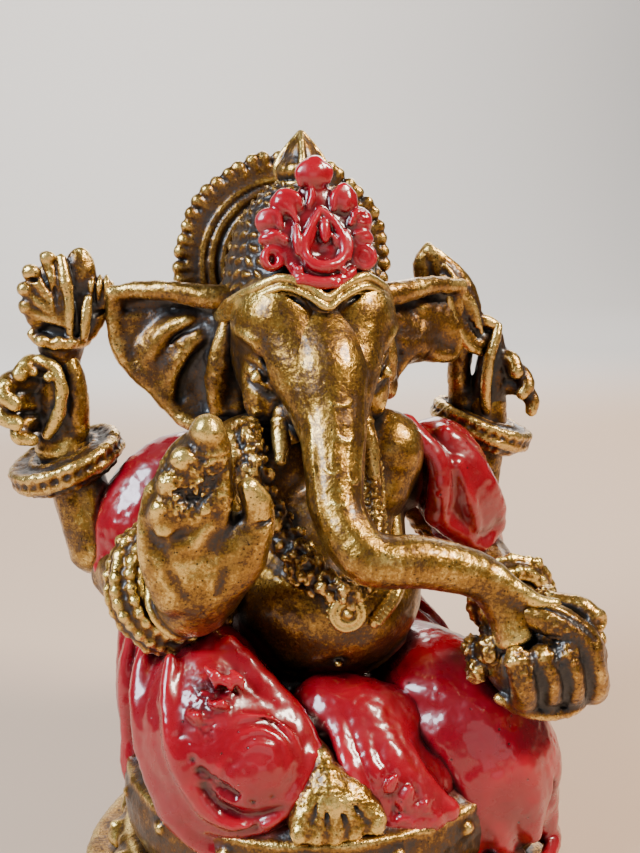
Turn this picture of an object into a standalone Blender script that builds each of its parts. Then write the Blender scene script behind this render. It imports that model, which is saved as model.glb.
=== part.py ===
"""Seated four-armed elephant-headed idol, cast in pieces that are glued together.

An oval plinth with a felt pad carries a ring of lotus petals, a cushion seat and the figure: a torso, one
leg folded on the seat and one hanging in front of it, a wrap and a shawl, four arms with bracelets and what
the hands hold, and a head with ears, trunk, tusks, crown, crest and halo.

Lengths are millimetres in the constants and metres in the scene. +Z is up and the figure faces -Y. The
origin is the centre of the felt pad's underside. Where two pieces meet, one keeps its shape and plugs into
the other, whose socket is GLUE_GAP wider all round.
"""

import math

import bmesh
import bpy
from mathutils import Matrix, Vector

MM = 0.001

# Clearances and casting settings
GLUE_GAP = 0.3
FACET_DEPTH = 0.14  # how far the flats of a faceted socket wall dip inside its true surface
SOCKET_OFFSET = GLUE_GAP + FACET_DEPTH
STACK_GAP = 0.3
CAST_VOXEL = 0.9
SMOOTHING = 4
FACETS = 0.56  # share of each casting's facets that is kept; 1 gives a finer and slower model

# Plinth, petals and seat
PLINTH_WIDTH = 97.0
PLINTH_DEPTH = 88.0
PLINTH_HEIGHT = 5.4
PAD_THICKNESS = 1.2
PAD_MARGIN = 4.0
PAD_RECESS = 0.6
PETAL_RING_WIDTH = 88.0
PETAL_RING_DEPTH = 79.0
PETAL_RING_HEIGHT = 6.0
PETAL_COUNT = 22
PETAL_SWELL = 2.2
SEAT_WIDTH = 80.0
SEAT_DEPTH = 72.0
SEAT_HEIGHT = 16.5

# Figure: the spine stands behind the plinth's centre
SPINE_Y = 16.0
HIP_WIDTH = 68.0
KNEE_RADIUS = 14.5
BELLY_RADIUS = 20.0
CHEST_RADIUS = 22.0
SHOULDER_WIDTH = 46.0
SHOULDER_HEIGHT = 51.0
NECK_RADIUS = 11.0
SHAWL_RADIUS = 8.5

# Arms
ARM_RADIUS = 6.4
RAISED_WRIST_RADIUS = 5.0
BLESSING_WRIST_RADIUS = 7.0
OFFERING_WRIST_RADIUS = 4.6
BANGLE_RADIUS = 12.0
BANGLE_THICKNESS = 3.6
BLESSING_BRACELET_TUBE = 3.4
OFFERING_BRACELET_TUBE = 2.4
FINGER_RADIUS = 2.1
FLOWER_PETAL_RADIUS = 3.0

# Head
HEAD_HEIGHT = 77.0  # centre of the skull above the seat
HEAD_FORWARD = 4.0  # ahead of the spine
HEAD_HALF_WIDTH = 16.5
TRUNK_ROOT_RADIUS = 9.4
TRUNK_MIDDLE_RADIUS = 5.0
TRUNK_TIP_RADIUS = 3.6
EAR_SPAN = 20.0
EAR_THICKNESS = 3.2
TUSK_RADIUS = 1.9
CROWN_RADIUS = 16.6
CROWN_HEIGHT = 25.0
CROWN_SEAT = 9.0  # crown's lower edge above the skull's centre
BAND_RADIUS = 1.7
CREST_WIDTH = 23.0
CREST_HEIGHT = 25.0
FINIAL_RADIUS = 5.7
FINIAL_HEIGHT = 11.0
HALO_RADIUS = 22.8
HALO_LOBE = 1.5
HALO_LOBES = 36
HALO_THICKNESS = 4.0
HALO_RISE = 16.0
HALO_SINK = 0.5  # how deep the crown is set into the halo's seat
GARLAND_RADIUS = 3.2
PENDANT_RADIUS = 3.4

PLINTH_TOP = PAD_THICKNESS - PAD_RECESS + PLINTH_HEIGHT
PETAL_TOP = PLINTH_TOP + STACK_GAP + PETAL_RING_HEIGHT
SEAT_TOP = PETAL_TOP + STACK_GAP + SEAT_HEIGHT

GOLD = ("gold_paint", (0.42, 0.25, 0.07), 0.38, 0.85)
DARK_GOLD = ("dark_gold_paint", (0.20, 0.12, 0.045), 0.45, 0.7)
RED = ("red_enamel", (0.50, 0.008, 0.018), 0.22, 0.0)
FELT = ("felt", (0.03, 0.05, 0.035), 0.95, 0.0)

pieces = {}
whole_shapes = {}  # each piece's mesh before any socket is cut in it


# ---------------------------------------------------------------- scene and mesh helpers


def start_scene():
    for obj in list(bpy.data.objects):
        bpy.data.objects.remove(obj)
    collection = bpy.data.collections.new("ganesha_idol")
    bpy.context.scene.collection.children.link(collection)
    return collection


def paint(finish):
    name, colour, roughness, metallic = finish
    found = bpy.data.materials.get(name)
    if found:
        return found
    made = bpy.data.materials.new(name)
    made.use_nodes = True
    shader = made.node_tree.nodes["Principled BSDF"]
    shader.inputs["Base Color"].default_value = (*colour, 1.0)
    shader.inputs["Roughness"].default_value = roughness
    shader.inputs["Metallic"].default_value = metallic
    return made


def evaluated_mesh(obj):
    bpy.context.view_layer.update()
    graph = bpy.context.evaluated_depsgraph_get()
    return bpy.data.meshes.new_from_object(obj.evaluated_get(graph))


def apply_modifiers(obj):
    obj.data = evaluated_mesh(obj)
    obj.modifiers.clear()


def tidy(mesh):
    """Welds loose caps, turns the faces outwards and makes triangles."""
    bm = bmesh.new()
    bm.from_mesh(mesh)
    bmesh.ops.remove_doubles(bm, verts=bm.verts, dist=0.01 * MM)
    bmesh.ops.recalc_face_normals(bm, faces=bm.faces)
    bmesh.ops.triangulate(bm, faces=bm.faces)
    bm.to_mesh(mesh)
    bm.free()


def keep_largest_body(mesh):
    """Removes the crumbs that a socket cut leaves beside the main body."""
    bm = bmesh.new()
    bm.from_mesh(mesh)
    left = set(bm.verts)
    bodies = []
    while left:
        stack = [left.pop()]
        body = set(stack)
        while stack:
            for edge in stack.pop().link_edges:
                for vert in edge.verts:
                    if vert in left:
                        left.remove(vert)
                        body.add(vert)
                        stack.append(vert)
        bodies.append(body)
    bodies.sort(key=len, reverse=True)
    for body in bodies[1:]:
        bmesh.ops.delete(bm, geom=list(body), context="VERTS")
    bm.to_mesh(mesh)
    bm.free()


def add_piece(name, mesh, finish):
    mesh.name = name
    obj = bpy.data.objects.new(name, mesh)
    collection.objects.link(obj)
    mesh.materials.clear()
    mesh.materials.append(paint(finish))
    mesh.shade_smooth()
    mesh.set_sharp_from_angle(angle=math.radians(45))
    pieces[name] = obj
    return obj


# ---------------------------------------------------------------- shapes, all in millimetres


def spline_through(points, steps=4):
    """A Catmull-Rom curve through points of any dimension."""
    rows = [Vector(p) for p in points]
    rows = [2 * rows[0] - rows[1], *rows, 2 * rows[-1] - rows[-2]]
    made = []
    for a, b, c, d in zip(rows, rows[1:], rows[2:], rows[3:]):
        for i in range(steps):
            t = i / steps
            square = (2 * a - 5 * b + 4 * c - d) * t**2
            cube = (3 * b - a - 3 * c + d) * t**3
            made.append(0.5 * (2 * b + (c - a) * t + square + cube))
    made.append(rows[-2])
    return made


def ball(centre, radii, turn=(0.0, 0.0, 0.0)):
    """An ellipsoid. turn is its rotation about X, Y and Z in degrees."""
    rotation = Matrix.LocRotScale(Vector(centre), euler(turn), Vector(radii))

    def add(bm, place):
        bmesh.ops.create_uvsphere(bm, u_segments=20, v_segments=12, radius=1.0, matrix=place @ rotation)

    return add


def euler(degrees):
    turns = [math.radians(d) for d in degrees]
    x, y, z = (Matrix.Rotation(t, 3, axis) for t, axis in zip(turns, "XYZ"))
    return (z @ y @ x).to_quaternion()


def limb(points, steps=4):
    """A tapering round limb through (x, y, z, radius) points, with round ends."""

    def add(bm, place):
        rows = spline_through(points, steps)
        curve = bpy.data.curves.new("limb", "CURVE")
        curve.dimensions = "3D"
        curve.bevel_depth = 1.0
        curve.bevel_resolution = 4
        curve.use_fill_caps = True
        spline = curve.splines.new("POLY")
        spline.points.add(len(rows) - 1)
        for point, row in zip(spline.points, rows):
            point.co = (*(place @ Vector(row[:3])), 1.0)
            point.radius = row[3]
        holder = bpy.data.objects.new("limb", curve)
        bpy.context.scene.collection.objects.link(holder)
        mesh = evaluated_mesh(holder)
        bpy.data.objects.remove(holder)
        tidy(mesh)
        bm.from_mesh(mesh)
        bpy.data.meshes.remove(mesh)
        for row in (rows[0], rows[-1]):
            end = Matrix.Translation(place @ Vector(row[:3]))
            bmesh.ops.create_uvsphere(bm, u_segments=14, v_segments=9, radius=row[3], matrix=end)

    return add


def cast(name, shapes, triangles, finish, place=None, voxel=CAST_VOXEL, smoothing=SMOOTHING):
    """One closed body: the shapes are fused on a fine grid, smoothed where they meet, and simplified."""
    bm = bmesh.new()
    for shape in shapes:
        shape(bm, place or Matrix.Identity(4))
    mesh = bpy.data.meshes.new(name)
    bm.to_mesh(mesh)
    bm.free()
    obj = add_piece(name, mesh, finish)
    fuse = obj.modifiers.new("fuse", "REMESH")
    fuse.mode = "VOXEL"
    fuse.voxel_size = voxel
    soften = obj.modifiers.new("soften", "SMOOTH")
    soften.factor = 0.5
    soften.iterations = smoothing
    apply_modifiers(obj)
    tidy(obj.data)
    simplify = obj.modifiers.new("simplify", "DECIMATE")
    simplify.ratio = min(1.0, FACETS * triangles / len(obj.data.polygons))
    apply_modifiers(obj)
    obj.data.transform(Matrix.Scale(MM, 4))
    return finished(obj, finish)


def finished(obj, finish):
    tidy(obj.data)
    name = obj.name
    mesh = obj.data
    bpy.data.objects.remove(obj)
    return add_piece(name, mesh, finish)


def slab(name, outline, bottom, top, finish, bevel=0.0):
    """A flat outline given thickness between two heights."""
    curve = bpy.data.curves.new(name, "CURVE")
    curve.dimensions = "2D"
    curve.fill_mode = "BOTH"
    curve.extrude = (top - bottom) / 2 - bevel
    curve.bevel_depth = bevel
    curve.bevel_resolution = 0
    curve.offset = -bevel
    spline = curve.splines.new("POLY")
    spline.use_cyclic_u = True
    spline.points.add(len(outline) - 1)
    for point, (x, y) in zip(spline.points, outline):
        point.co = (x, y, 0.0, 1.0)
    obj = bpy.data.objects.new(name, curve)
    collection.objects.link(obj)
    mesh = evaluated_mesh(obj)
    bpy.data.objects.remove(obj)
    mesh.transform(Matrix.Translation((0, 0, (top + bottom) / 2)))
    mesh.transform(Matrix.Scale(MM, 4))
    tidy(mesh)
    return add_piece(name, mesh, finish)


def turned(name, profile, finish, steps=28, place=None, closed=False):
    """A profile of (radius, height) points turned about Z, then put in place."""
    bm = bmesh.new()
    verts = [bm.verts.new((r, 0.0, z)) for r, z in profile]
    for a, b in zip(verts, verts[1:]):
        bm.edges.new((a, b))
    if closed:
        bm.edges.new((verts[-1], verts[0]))
    mesh = bpy.data.meshes.new(name)
    bm.to_mesh(mesh)
    bm.free()
    obj = add_piece(name, mesh, finish)
    screw = obj.modifiers.new("turn", "SCREW")
    screw.steps = steps
    screw.render_steps = steps
    screw.use_merge_vertices = True
    screw.merge_threshold = 0.0001
    apply_modifiers(obj)
    obj.data.transform(place or Matrix.Identity(4))
    obj.data.transform(Matrix.Scale(MM, 4))
    return finished(obj, finish)


def shell(name, surface, columns, rows, thickness, finish):
    """An open sheet, surface(u, v) with u and v from 0 to 1, given thickness by Solidify."""
    bm = bmesh.new()
    grid = []
    for i in range(columns + 1):
        grid.append([bm.verts.new(surface(i / columns, j / rows)) for j in range(rows + 1)])
    for left, right in zip(grid, grid[1:]):
        for j in range(rows):
            bm.faces.new((left[j], right[j], right[j + 1], left[j + 1]))
    mesh = bpy.data.meshes.new(name)
    bm.to_mesh(mesh)
    bm.free()
    obj = add_piece(name, mesh, finish)
    thicken = obj.modifiers.new("thicken", "SOLIDIFY")
    thicken.thickness = thickness
    thicken.offset = 0.0
    apply_modifiers(obj)
    obj.data.transform(Matrix.Scale(MM, 4))
    return finished(obj, finish)


def superellipse(half_x, half_y, squareness, count, centre_y=0.0):
    """Points round an oval; squareness 2 is an ellipse, and more is squarer."""
    made = []
    for i in range(count):
        angle = 2 * math.pi * i / count
        c, s = math.cos(angle), math.sin(angle)
        x = math.copysign(abs(c) ** (2 / squareness), c) * half_x
        y = math.copysign(abs(s) ** (2 / squareness), s) * half_y
        made.append((x, y + centre_y))
    return made


def aimed(centre, forward, up=(0, 0, 1)):
    """A frame at centre whose +Z runs along forward and whose +Y leans towards up."""
    z = Vector(forward).normalized()
    x = Vector(up).cross(z).normalized()
    y = z.cross(x)
    return Matrix.Translation(centre) @ Matrix((x, y, z)).transposed().to_4x4()


def figure(x, y, z):
    """A point given from the seat's top, at the spine."""
    return Vector((x, y + SPINE_Y, z + SEAT_TOP))


def head(x, y, z):
    """A point given from the middle of the skull."""
    return figure(x, y - HEAD_FORWARD, z + HEAD_HEIGHT)


def with_radius(point, radius):
    return (*point, radius)


def socket(host, *names):
    """Cuts the host back from the whole shape of each named piece, GLUE_GAP clear of it."""
    for name in names:
        cutter = bpy.data.objects.new(name + "_socket", whole_shapes[name].copy())
        cutters.objects.link(cutter)
        cutter.hide_render = True
        cutter.display_type = "WIRE"
        normals = [vert.normal.copy() for vert in cutter.data.vertices]
        for vert, normal in zip(cutter.data.vertices, normals):
            vert.co += normal * SOCKET_OFFSET * MM
        cut = pieces[host].modifiers.new("socket", "BOOLEAN")
        cut.operation = "DIFFERENCE"
        cut.solver = "EXACT"
        cut.object = cutter
        apply_modifiers(pieces[host])
        keep_largest_body(pieces[host].data)
        bpy.data.objects.remove(cutter)


# ---------------------------------------------------------------- plinth and seat


def make_plinth():
    low = PAD_THICKNESS - PAD_RECESS
    half_x, half_y = PLINTH_WIDTH / 2, PLINTH_DEPTH / 2
    slab("plinth", superellipse(half_x, half_y, 2.2, 32), low, PLINTH_TOP, DARK_GOLD, bevel=1.2)
    pad = superellipse(half_x - PAD_MARGIN, half_y - PAD_MARGIN, 2.2, 28)
    slab("felt_pad", pad, 0.0, PAD_THICKNESS, FELT)


def make_petal_ring():
    outline = []
    for i in range(PETAL_COUNT * 3):
        angle = 2 * math.pi * i / (PETAL_COUNT * 3)
        swell = (0.0, PETAL_SWELL, PETAL_SWELL)[i % 3]
        x = math.cos(angle) * (PETAL_RING_WIDTH / 2 - PETAL_SWELL + swell)
        y = math.sin(angle) * (PETAL_RING_DEPTH / 2 - PETAL_SWELL + swell)
        outline.append((x, y))
    slab("lotus_petals", outline, PLINTH_TOP + STACK_GAP, PETAL_TOP, GOLD)


def make_seat():
    """A round-sided cushion: its section bulges above the middle and draws in at the foot."""
    radius = SEAT_WIDTH / 2
    upper = [(0.0, 1.0), (0.84, 1.0), (0.96, 0.92), (1.0, 0.7)]
    section = [*upper, (0.98, 0.42), (0.91, 0.16), (0.82, 0.0), (0.0, 0.0)]
    profile = [(r * radius, z * SEAT_HEIGHT) for r, z in section]
    oval = Matrix.Diagonal((1.0, SEAT_DEPTH / SEAT_WIDTH, 1.0, 1.0))
    place = Matrix.Translation((0, 0, PETAL_TOP + STACK_GAP)) @ oval
    turned("seat_cushion", profile, DARK_GOLD, steps=28, place=place)


# ---------------------------------------------------------------- legs and wrap


def make_legs():
    hip = HIP_WIDTH / 2
    cast(
        "hip_wrap",
        [ball(figure(0, 1, 10), (hip, 24, 12)), ball(figure(0, 8, 13), (hip - 6, 19, 15))],
        420,
        RED,
    )
    knee = KNEE_RADIUS
    cast(
        "right_leg",
        [
            ball(figure(-24, -27, 10), (knee + 0.5, 17, knee + 2), (0, 0, 15)),
            ball(figure(-25, -12, 9.5), (knee - 1, 18, knee - 3)),
            ball(figure(-17, -35, 5), (knee - 2, 13, 10), (0, 0, -20)),
            ball(figure(-24, -24, 18), (9, 11, 11)),
            ball(figure(-20, -40, 1), (8, 7, 7)),
        ],
        460,
        RED,
    )
    hem = PLINTH_TOP + 5 - SEAT_TOP
    cast(
        "left_leg",
        [
            limb(
                [
                    with_radius(figure(17, -6, 8), knee - 3),
                    with_radius(figure(22, -22, 8), knee - 1),
                    with_radius(figure(27, -30, 4), knee),
                    with_radius(figure(28.5, -31, hem * 0.45), knee - 0.5),
                    with_radius(figure(28.5, -31, hem + 8), knee - 2),
                ]
            ),
            ball(figure(21, -30, 4), (11, 12, 13)),
        ],
        480,
        RED,
    )
    cast(
        "wrap_pleats",
        [
            limb(
                [
                    with_radius(figure(0, -24, 13), 5.5),
                    with_radius(figure(2, -33, 11), 7.5),
                    with_radius(figure(5, -39, 6), 8),
                    with_radius(figure(8.5, -43, -1), 7),
                ]
            ),
        ],
        240,
        RED,
    )
    cast(
        "right_foot",
        [
            limb(
                [
                    with_radius(figure(-14, -33, 10), 4.5),
                    with_radius(figure(-8.5, -41, 7), 5),
                    with_radius(figure(-7, -45, 3), 5),
                ]
            ),
            ball(figure(-6.5, -47.5, 0.8), (8, 4.5, 4.2)),
        ],
        240,
        GOLD,
    )
    sole = PLINTH_TOP + STACK_GAP - SEAT_TOP
    cast(
        "left_foot",
        [
            ball(figure(28, -40, sole + 5.5), (6.5, 13, 5.0)),
            ball(figure(28, -48, sole + 4.2), (7.5, 7, 3.6)),
        ],
        240,
        GOLD,
    )


# ---------------------------------------------------------------- torso and shawl


def torso_masses():
    """Belly, ribs, back and chest as (centre, radii), measured from the seat."""
    high = SHOULDER_HEIGHT
    return [
        ((1, -12, 30), (BELLY_RADIUS, BELLY_RADIUS + 1.5, BELLY_RADIUS * 0.86)),
        ((0, -6, high - 10), (CHEST_RADIUS - 2, 17, 13)),
        ((0, 6, 26), (21, 13, 22)),
        ((0, 0, high - 3), (CHEST_RADIUS, CHEST_RADIUS * 0.62, 15)),
    ]


def torso_front(x, z, least):
    """How far forward the torso's surface is at x and z, and at least as far as least."""
    front = least
    for centre, radii in torso_masses():
        inside = 1 - ((x - centre[0]) / radii[0]) ** 2 - ((z - centre[2]) / radii[2]) ** 2
        if inside > 0:
            front = min(front, centre[1] - radii[1] * math.sqrt(inside))
    return front


def make_torso():
    """Belly, chest, shoulders and the neck that the head sits on."""
    shoulder = SHOULDER_WIDTH / 2 - 5
    high = SHOULDER_HEIGHT
    neck = [
        with_radius(figure(0, 2, high), NECK_RADIUS),
        with_radius(figure(0, 0, HEAD_HEIGHT - 9), NECK_RADIUS),
    ]
    shapes = [ball(figure(*centre), radii) for centre, radii in torso_masses()]
    shapes += [ball(figure(side * shoulder, -3, high), (10, 9.5, 9.5)) for side in (-1, 1)]
    cast("torso", [*shapes, limb(neck)], 620, GOLD)


def make_shawl():
    """Cloth over both shoulders, a panel down the back and an end that hangs beside the folded knee."""
    out = SHOULDER_WIDTH / 2
    high = SHOULDER_HEIGHT
    r = SHAWL_RADIUS
    drops = {-1: ((14.5, 44), (16, 39)), 1: ((15.5, 42), (19.5, 33))}
    for side, name in ((-1, "right_shawl"), (1, "left_shawl")):
        middle, end = drops[side]
        cast(
            name,
            [
                limb(
                    [
                        with_radius(figure(side * (out - 6), 9, high + 2), r - 2),
                        with_radius(figure(side * (out + 4), 6, high - 1), r),
                        with_radius(figure(side * (out + middle[0] - 4), 4, middle[1]), r),
                        with_radius(figure(side * (out + end[0] - 4), 2, end[1]), r - 1.5),
                    ]
                )
            ],
            260,
            RED,
        )
    cast(
        "shawl_back",
        [
            ball(figure(0, 15, high - 5), (out, 6, 13)),
            ball(figure(0, 18, high - 21), (out - 1, 6.5, 17)),
        ],
        280,
        RED,
    )
    cast(
        "shawl_tail",
        [
            limb(
                [
                    with_radius(figure(-35, 3, 26), 3.8),
                    with_radius(figure(-36, -3, 18), 4.2),
                    with_radius(figure(-36.5, -7, 9), 4.4),
                    with_radius(figure(-36.5, -8, 2), 3.8),
                ]
            )
        ],
        160,
        RED,
    )


# ---------------------------------------------------------------- arms, bracelets and hands


def arm(name, shoulder, elbow, wrist, wrist_radius):
    """Upper arm and forearm as two castings. The forearm's round end is the elbow."""
    cast(
        name + "_upperarm",
        [limb([with_radius(shoulder, ARM_RADIUS), with_radius(elbow, ARM_RADIUS)])],
        150,
        GOLD,
    )
    cast(
        name + "_forearm",
        [limb([with_radius(elbow, ARM_RADIUS), with_radius(wrist, wrist_radius)])],
        150,
        GOLD,
    )


def bangle(name, centre, forward):
    """A thin flared disc with a thick rim, as worn on the raised wrists."""
    half = BANGLE_THICKNESS / 2
    inner = RAISED_WRIST_RADIUS - 0.8
    rim = BANGLE_RADIUS
    profile = [
        (inner, half),
        (rim - 3.0, half * 0.7),
        (rim - 0.6, half * 0.8),
        (rim, 0.0),
        (rim - 0.6, -half * 0.6),
        (rim - 4.0, -half * 0.9),
        (inner, -half),
    ]
    turned(name, profile, GOLD, steps=18, place=aimed(centre, forward), closed=True)


def bracelet(name, centre, forward, wrist_radius, tube):
    """A thick round ring of beads round a lowered wrist."""
    middle = wrist_radius + tube * 0.7
    angles = [-2 * math.pi * i / 6 for i in range(6)]
    ring = [(middle + tube * math.cos(a), tube * 1.15 * math.sin(a)) for a in angles]
    turned(name, ring, GOLD, steps=18, place=aimed(centre, forward), closed=True)


def finger(base, middle, tip, radius=FINGER_RADIUS):
    rows = [with_radius(base, radius), with_radius(middle, radius), with_radius(tip, radius * 0.8)]
    return limb(rows, steps=3)


def make_raised_arm(side, label, elbow, bangle_at, wrist):
    """An arm bent up behind the shoulder, with a disc bangle and fingers that curl outwards."""
    high = Vector((0, 0, SHOULDER_HEIGHT))
    elbow, bangle_at, wrist = (figure(*p) + high for p in (elbow, bangle_at, wrist))
    shoulder = figure(side * (SHOULDER_WIDTH / 2 - 1), 8, SHOULDER_HEIGHT - 2)
    arm(f"upper_{label}", shoulder, elbow, wrist, RAISED_WRIST_RADIUS)
    bangle(f"upper_{label}_bangle", bangle_at, (side * 0.36, -0.1, 1.0))
    r = FINGER_RADIUS

    def joint(x, y, z):
        return wrist + Vector((side * x, y, z))

    cast(
        f"upper_{label}_hand",
        [
            ball(joint(1, -0.5, 6), (6, 4.4, 8.5), (0, side * 8, 0)),
            finger(joint(3, -3, 10), joint(8.5, -4.5, 9.5), joint(9, -6, 4.5), r * 1.15),
            finger(joint(3, -3, 6), joint(9, -4.5, 5), joint(8.5, -6.5, 0.5), r * 1.15),
            finger(joint(0, -2, 12), joint(0, -3, 14), joint(-0.5, -3.5, 16), r * 1.2),
            finger(joint(3.5, 0, 12), joint(4, -1, 13.5), joint(4, -2, 15.5), r * 1.2),
            finger(joint(-3, -2, 6), joint(-5, -5, 8), joint(-4, -6, 12), r),
        ],
        360,
        GOLD,
        voxel=0.7,
        smoothing=3,
    )


def make_lotus(place):
    """The opened flower in the right raised hand."""
    base = figure(*place) + Vector((0, 0, SHOULDER_HEIGHT))
    tips = ((-8.5, -1, 9), (-6, -3, 15), (-1, -3.5, 18), (4, -1.5, 16), (-3, 2, 17), (7.5, -1, 9.5))
    petals = []
    for x, y, top in tips:
        middle = base + Vector((x * 0.5, y * 0.7, 8))
        petals.append(finger(base, middle, base + Vector((x, y, top)), FLOWER_PETAL_RADIUS))
    cup = ball(base + Vector((0, 0, 1)), (6.5, 5, 6))
    cast("lotus_flower", [cup, *petals], 400, GOLD, voxel=0.75, smoothing=3)


def make_conch(low, high):
    """The long ribbed shell in the left raised hand."""
    up = Vector((0, 0, SHOULDER_HEIGHT))
    low, high = figure(*low) + up, figure(*high) + up
    cast(
        "conch_shell",
        [
            limb(
                [
                    with_radius(low, 2.6),
                    with_radius(low.lerp(high, 0.3) + Vector((0.8, -1, 0)), 5.0),
                    with_radius(low.lerp(high, 0.65) + Vector((0.8, -0.5, 0)), 5.2),
                    with_radius(high, 2.4),
                ]
            ),
            ball(high + Vector((-1, 1.5, -4)), (3.4, 3.4, 5), (0, -14, 0)),
        ],
        240,
        GOLD,
    )


def make_right_lowered_arm():
    """The blessing arm: the palm faces forward and the fingers point up."""
    high = SHOULDER_HEIGHT
    shoulder = figure(-SHOULDER_WIDTH / 2, 3, high - 3)
    elbow = figure(-38, 1, high - 19)
    wrist = figure(-28, -24, high - 14)
    arm("lower_right", shoulder, elbow, wrist, BLESSING_WRIST_RADIUS)
    ring_at = elbow.lerp(wrist, 0.84)
    along = wrist - elbow + Vector((2, 0, 8))
    bracelet("lower_right_bracelet", ring_at, along, BLESSING_WRIST_RADIUS, BLESSING_BRACELET_TUBE)
    palm = wrist + Vector((2.0, -11, 7.5))
    bases = [(-7.0, 0.5, 7), (-2.6, -0.5, 9.5), (1.6, -0.5, 9.5), (5.0, 0.2, 7.5)]
    tips = [(-7.0, -4.0, 20), (-2.6, -5.0, 26.5), (1.8, -5.0, 27.5), (5.0, -4.0, 20)]
    fingers = [
        finger(
            palm + Vector(b),
            palm + (Vector(b) + Vector(t)) / 2 + Vector((0, 1.6, 0)),
            palm + Vector(t),
            FINGER_RADIUS * 1.25,
        )
        for b, t in zip(bases, tips)
    ]
    knuckle = palm + Vector((9.8, -2, 6))
    thumb = finger(palm + Vector((7.0, -1, 0)), knuckle, palm + Vector((8.6, -3.5, 12)), 2.5)
    cast(
        "blessing_hand",
        [
            ball(palm, (9.4, 5.2, 10.8)),
            ball(palm + Vector((-1, 3, -5)), (7.4, 6.5, 6.5)),
            ball(palm + Vector((5.8, -1.5, -1)), (3.6, 3.4, 6.0), (0, 14, 0)),
            thumb,
            *fingers,
        ],
        520,
        GOLD,
        voxel=0.7,
        smoothing=3,
    )


def offering_palm():
    return figure(35.5, -38, SHOULDER_HEIGHT - 26.5)


def make_left_lowered_arm():
    """The offering arm: the hand is flat under the sweets, with the fingers curled up in front of them."""
    high = SHOULDER_HEIGHT
    shoulder = figure(SHOULDER_WIDTH / 2, 3, high - 3)
    elbow = figure(39, 1, high - 20)
    palm = offering_palm()
    wrist = palm + Vector((2.5, 12, 3))
    arm("lower_left", shoulder, elbow, wrist, OFFERING_WRIST_RADIUS)
    ring_at = elbow.lerp(wrist, 0.86)
    bracelet("lower_left_bracelet", ring_at, wrist - elbow, OFFERING_WRIST_RADIUS, OFFERING_BRACELET_TUBE)
    fingers = [
        finger(
            palm + Vector((x, -4.5, -7.0 + abs(x + 1) * 0.12)),
            palm + Vector((x + 0.6, -9.6, -3.0)),
            palm + Vector((x - 1.2, -9.2, 4.5)),
            FINGER_RADIUS * 1.2,
        )
        for x in (-9.0, -3.8, 1.4, 6.6)
    ]
    thumb = finger(palm + Vector((7, 3, -2)), palm + Vector((8.5, -1, 4)), palm + Vector((6, -4, 9)), 2.5)
    cast(
        "offering_hand",
        [
            ball(palm + Vector((-1, 0, -5)), (11, 9.5, 4.8)),
            ball(palm + Vector((2, 8, -1)), (7, 7, 6)),
            thumb,
            *fingers,
        ],
        480,
        GOLD,
        voxel=0.7,
        smoothing=3,
    )
    cast(
        "sweet_pile",
        [
            ball(palm + Vector((-5, -3.5, 5)), (5.2, 5, 5.4)),
            ball(palm + Vector((2, -2.5, 5.5)), (5.2, 5, 5.6)),
            ball(palm + Vector((-1.5, 2, 4)), (7, 5, 5)),
        ],
        240,
        GOLD,
    )


# ---------------------------------------------------------------- head


def make_head():
    w = HEAD_HALF_WIDTH
    cast(
        "head_casting",
        [
            ball(head(0, 2, 1), (w, 15, 15)),
            ball(head(-w * 0.44, -6, 7), (w * 0.56, 9, 9)),
            ball(head(w * 0.44, -6, 7), (w * 0.56, 9, 9)),
            ball(head(-w * 0.52, -6, -5), (w * 0.44, 7.5, 9)),
            ball(head(w * 0.52, -6, -5), (w * 0.44, 7.5, 9)),
            ball(head(0, -4, -12), (9, 10, 7)),
        ],
        520,
        GOLD,
    )


def make_trunk():
    """It hangs from the brow, narrows, and turns to rest its tip on the sweets."""
    root = TRUNK_ROOT_RADIUS
    mid = TRUNK_MIDDLE_RADIUS
    sweets = offering_palm() + Vector((0, 0, 10))
    bend = head(0, -33.5, -29.5)
    points = [
        with_radius(head(0, -8, 4), root),
        with_radius(head(0, -15.5, -2), root * 0.93),
        with_radius(head(0, -20, -9), root * 0.72),
        with_radius(head(-1, -25, -17.5), mid + 0.6),
        with_radius(head(-1.5, -30, -25), mid - 0.3),
        with_radius(bend + Vector((2.5, -2.5, -2)), mid),
        with_radius(bend.lerp(sweets, 0.36) + Vector((0, -3, 1.5)), mid + 0.1),
        with_radius(bend.lerp(sweets, 0.68) + Vector((0, -3, 1.5)), mid - 0.4),
        with_radius(sweets + Vector((-8, -4.5, -1.0)), TRUNK_TIP_RADIUS + 0.4),
        with_radius(sweets + Vector((-3.5, -5.5, -2.5)), TRUNK_TIP_RADIUS),
    ]
    cast("trunk", [limb(points)], 520, GOLD)


def make_tusks():
    for side, name, length in ((-1, "right_tusk", 8.0), (1, "left_tusk", 12.0)):
        start = head(side * 7.5, -12, -10)
        cast(
            name,
            [
                limb(
                    [
                        with_radius(start, TUSK_RADIUS * 1.2),
                        with_radius(start + Vector((side * 1.0, -3.0, -length * 0.55)), TUSK_RADIUS * 1.1),
                        with_radius(start + Vector((side * 1.6, -5.0, -length)), TUSK_RADIUS * 0.75),
                    ]
                )
            ],
            90,
            GOLD,
            voxel=0.6,
            smoothing=2,
        )


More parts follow.
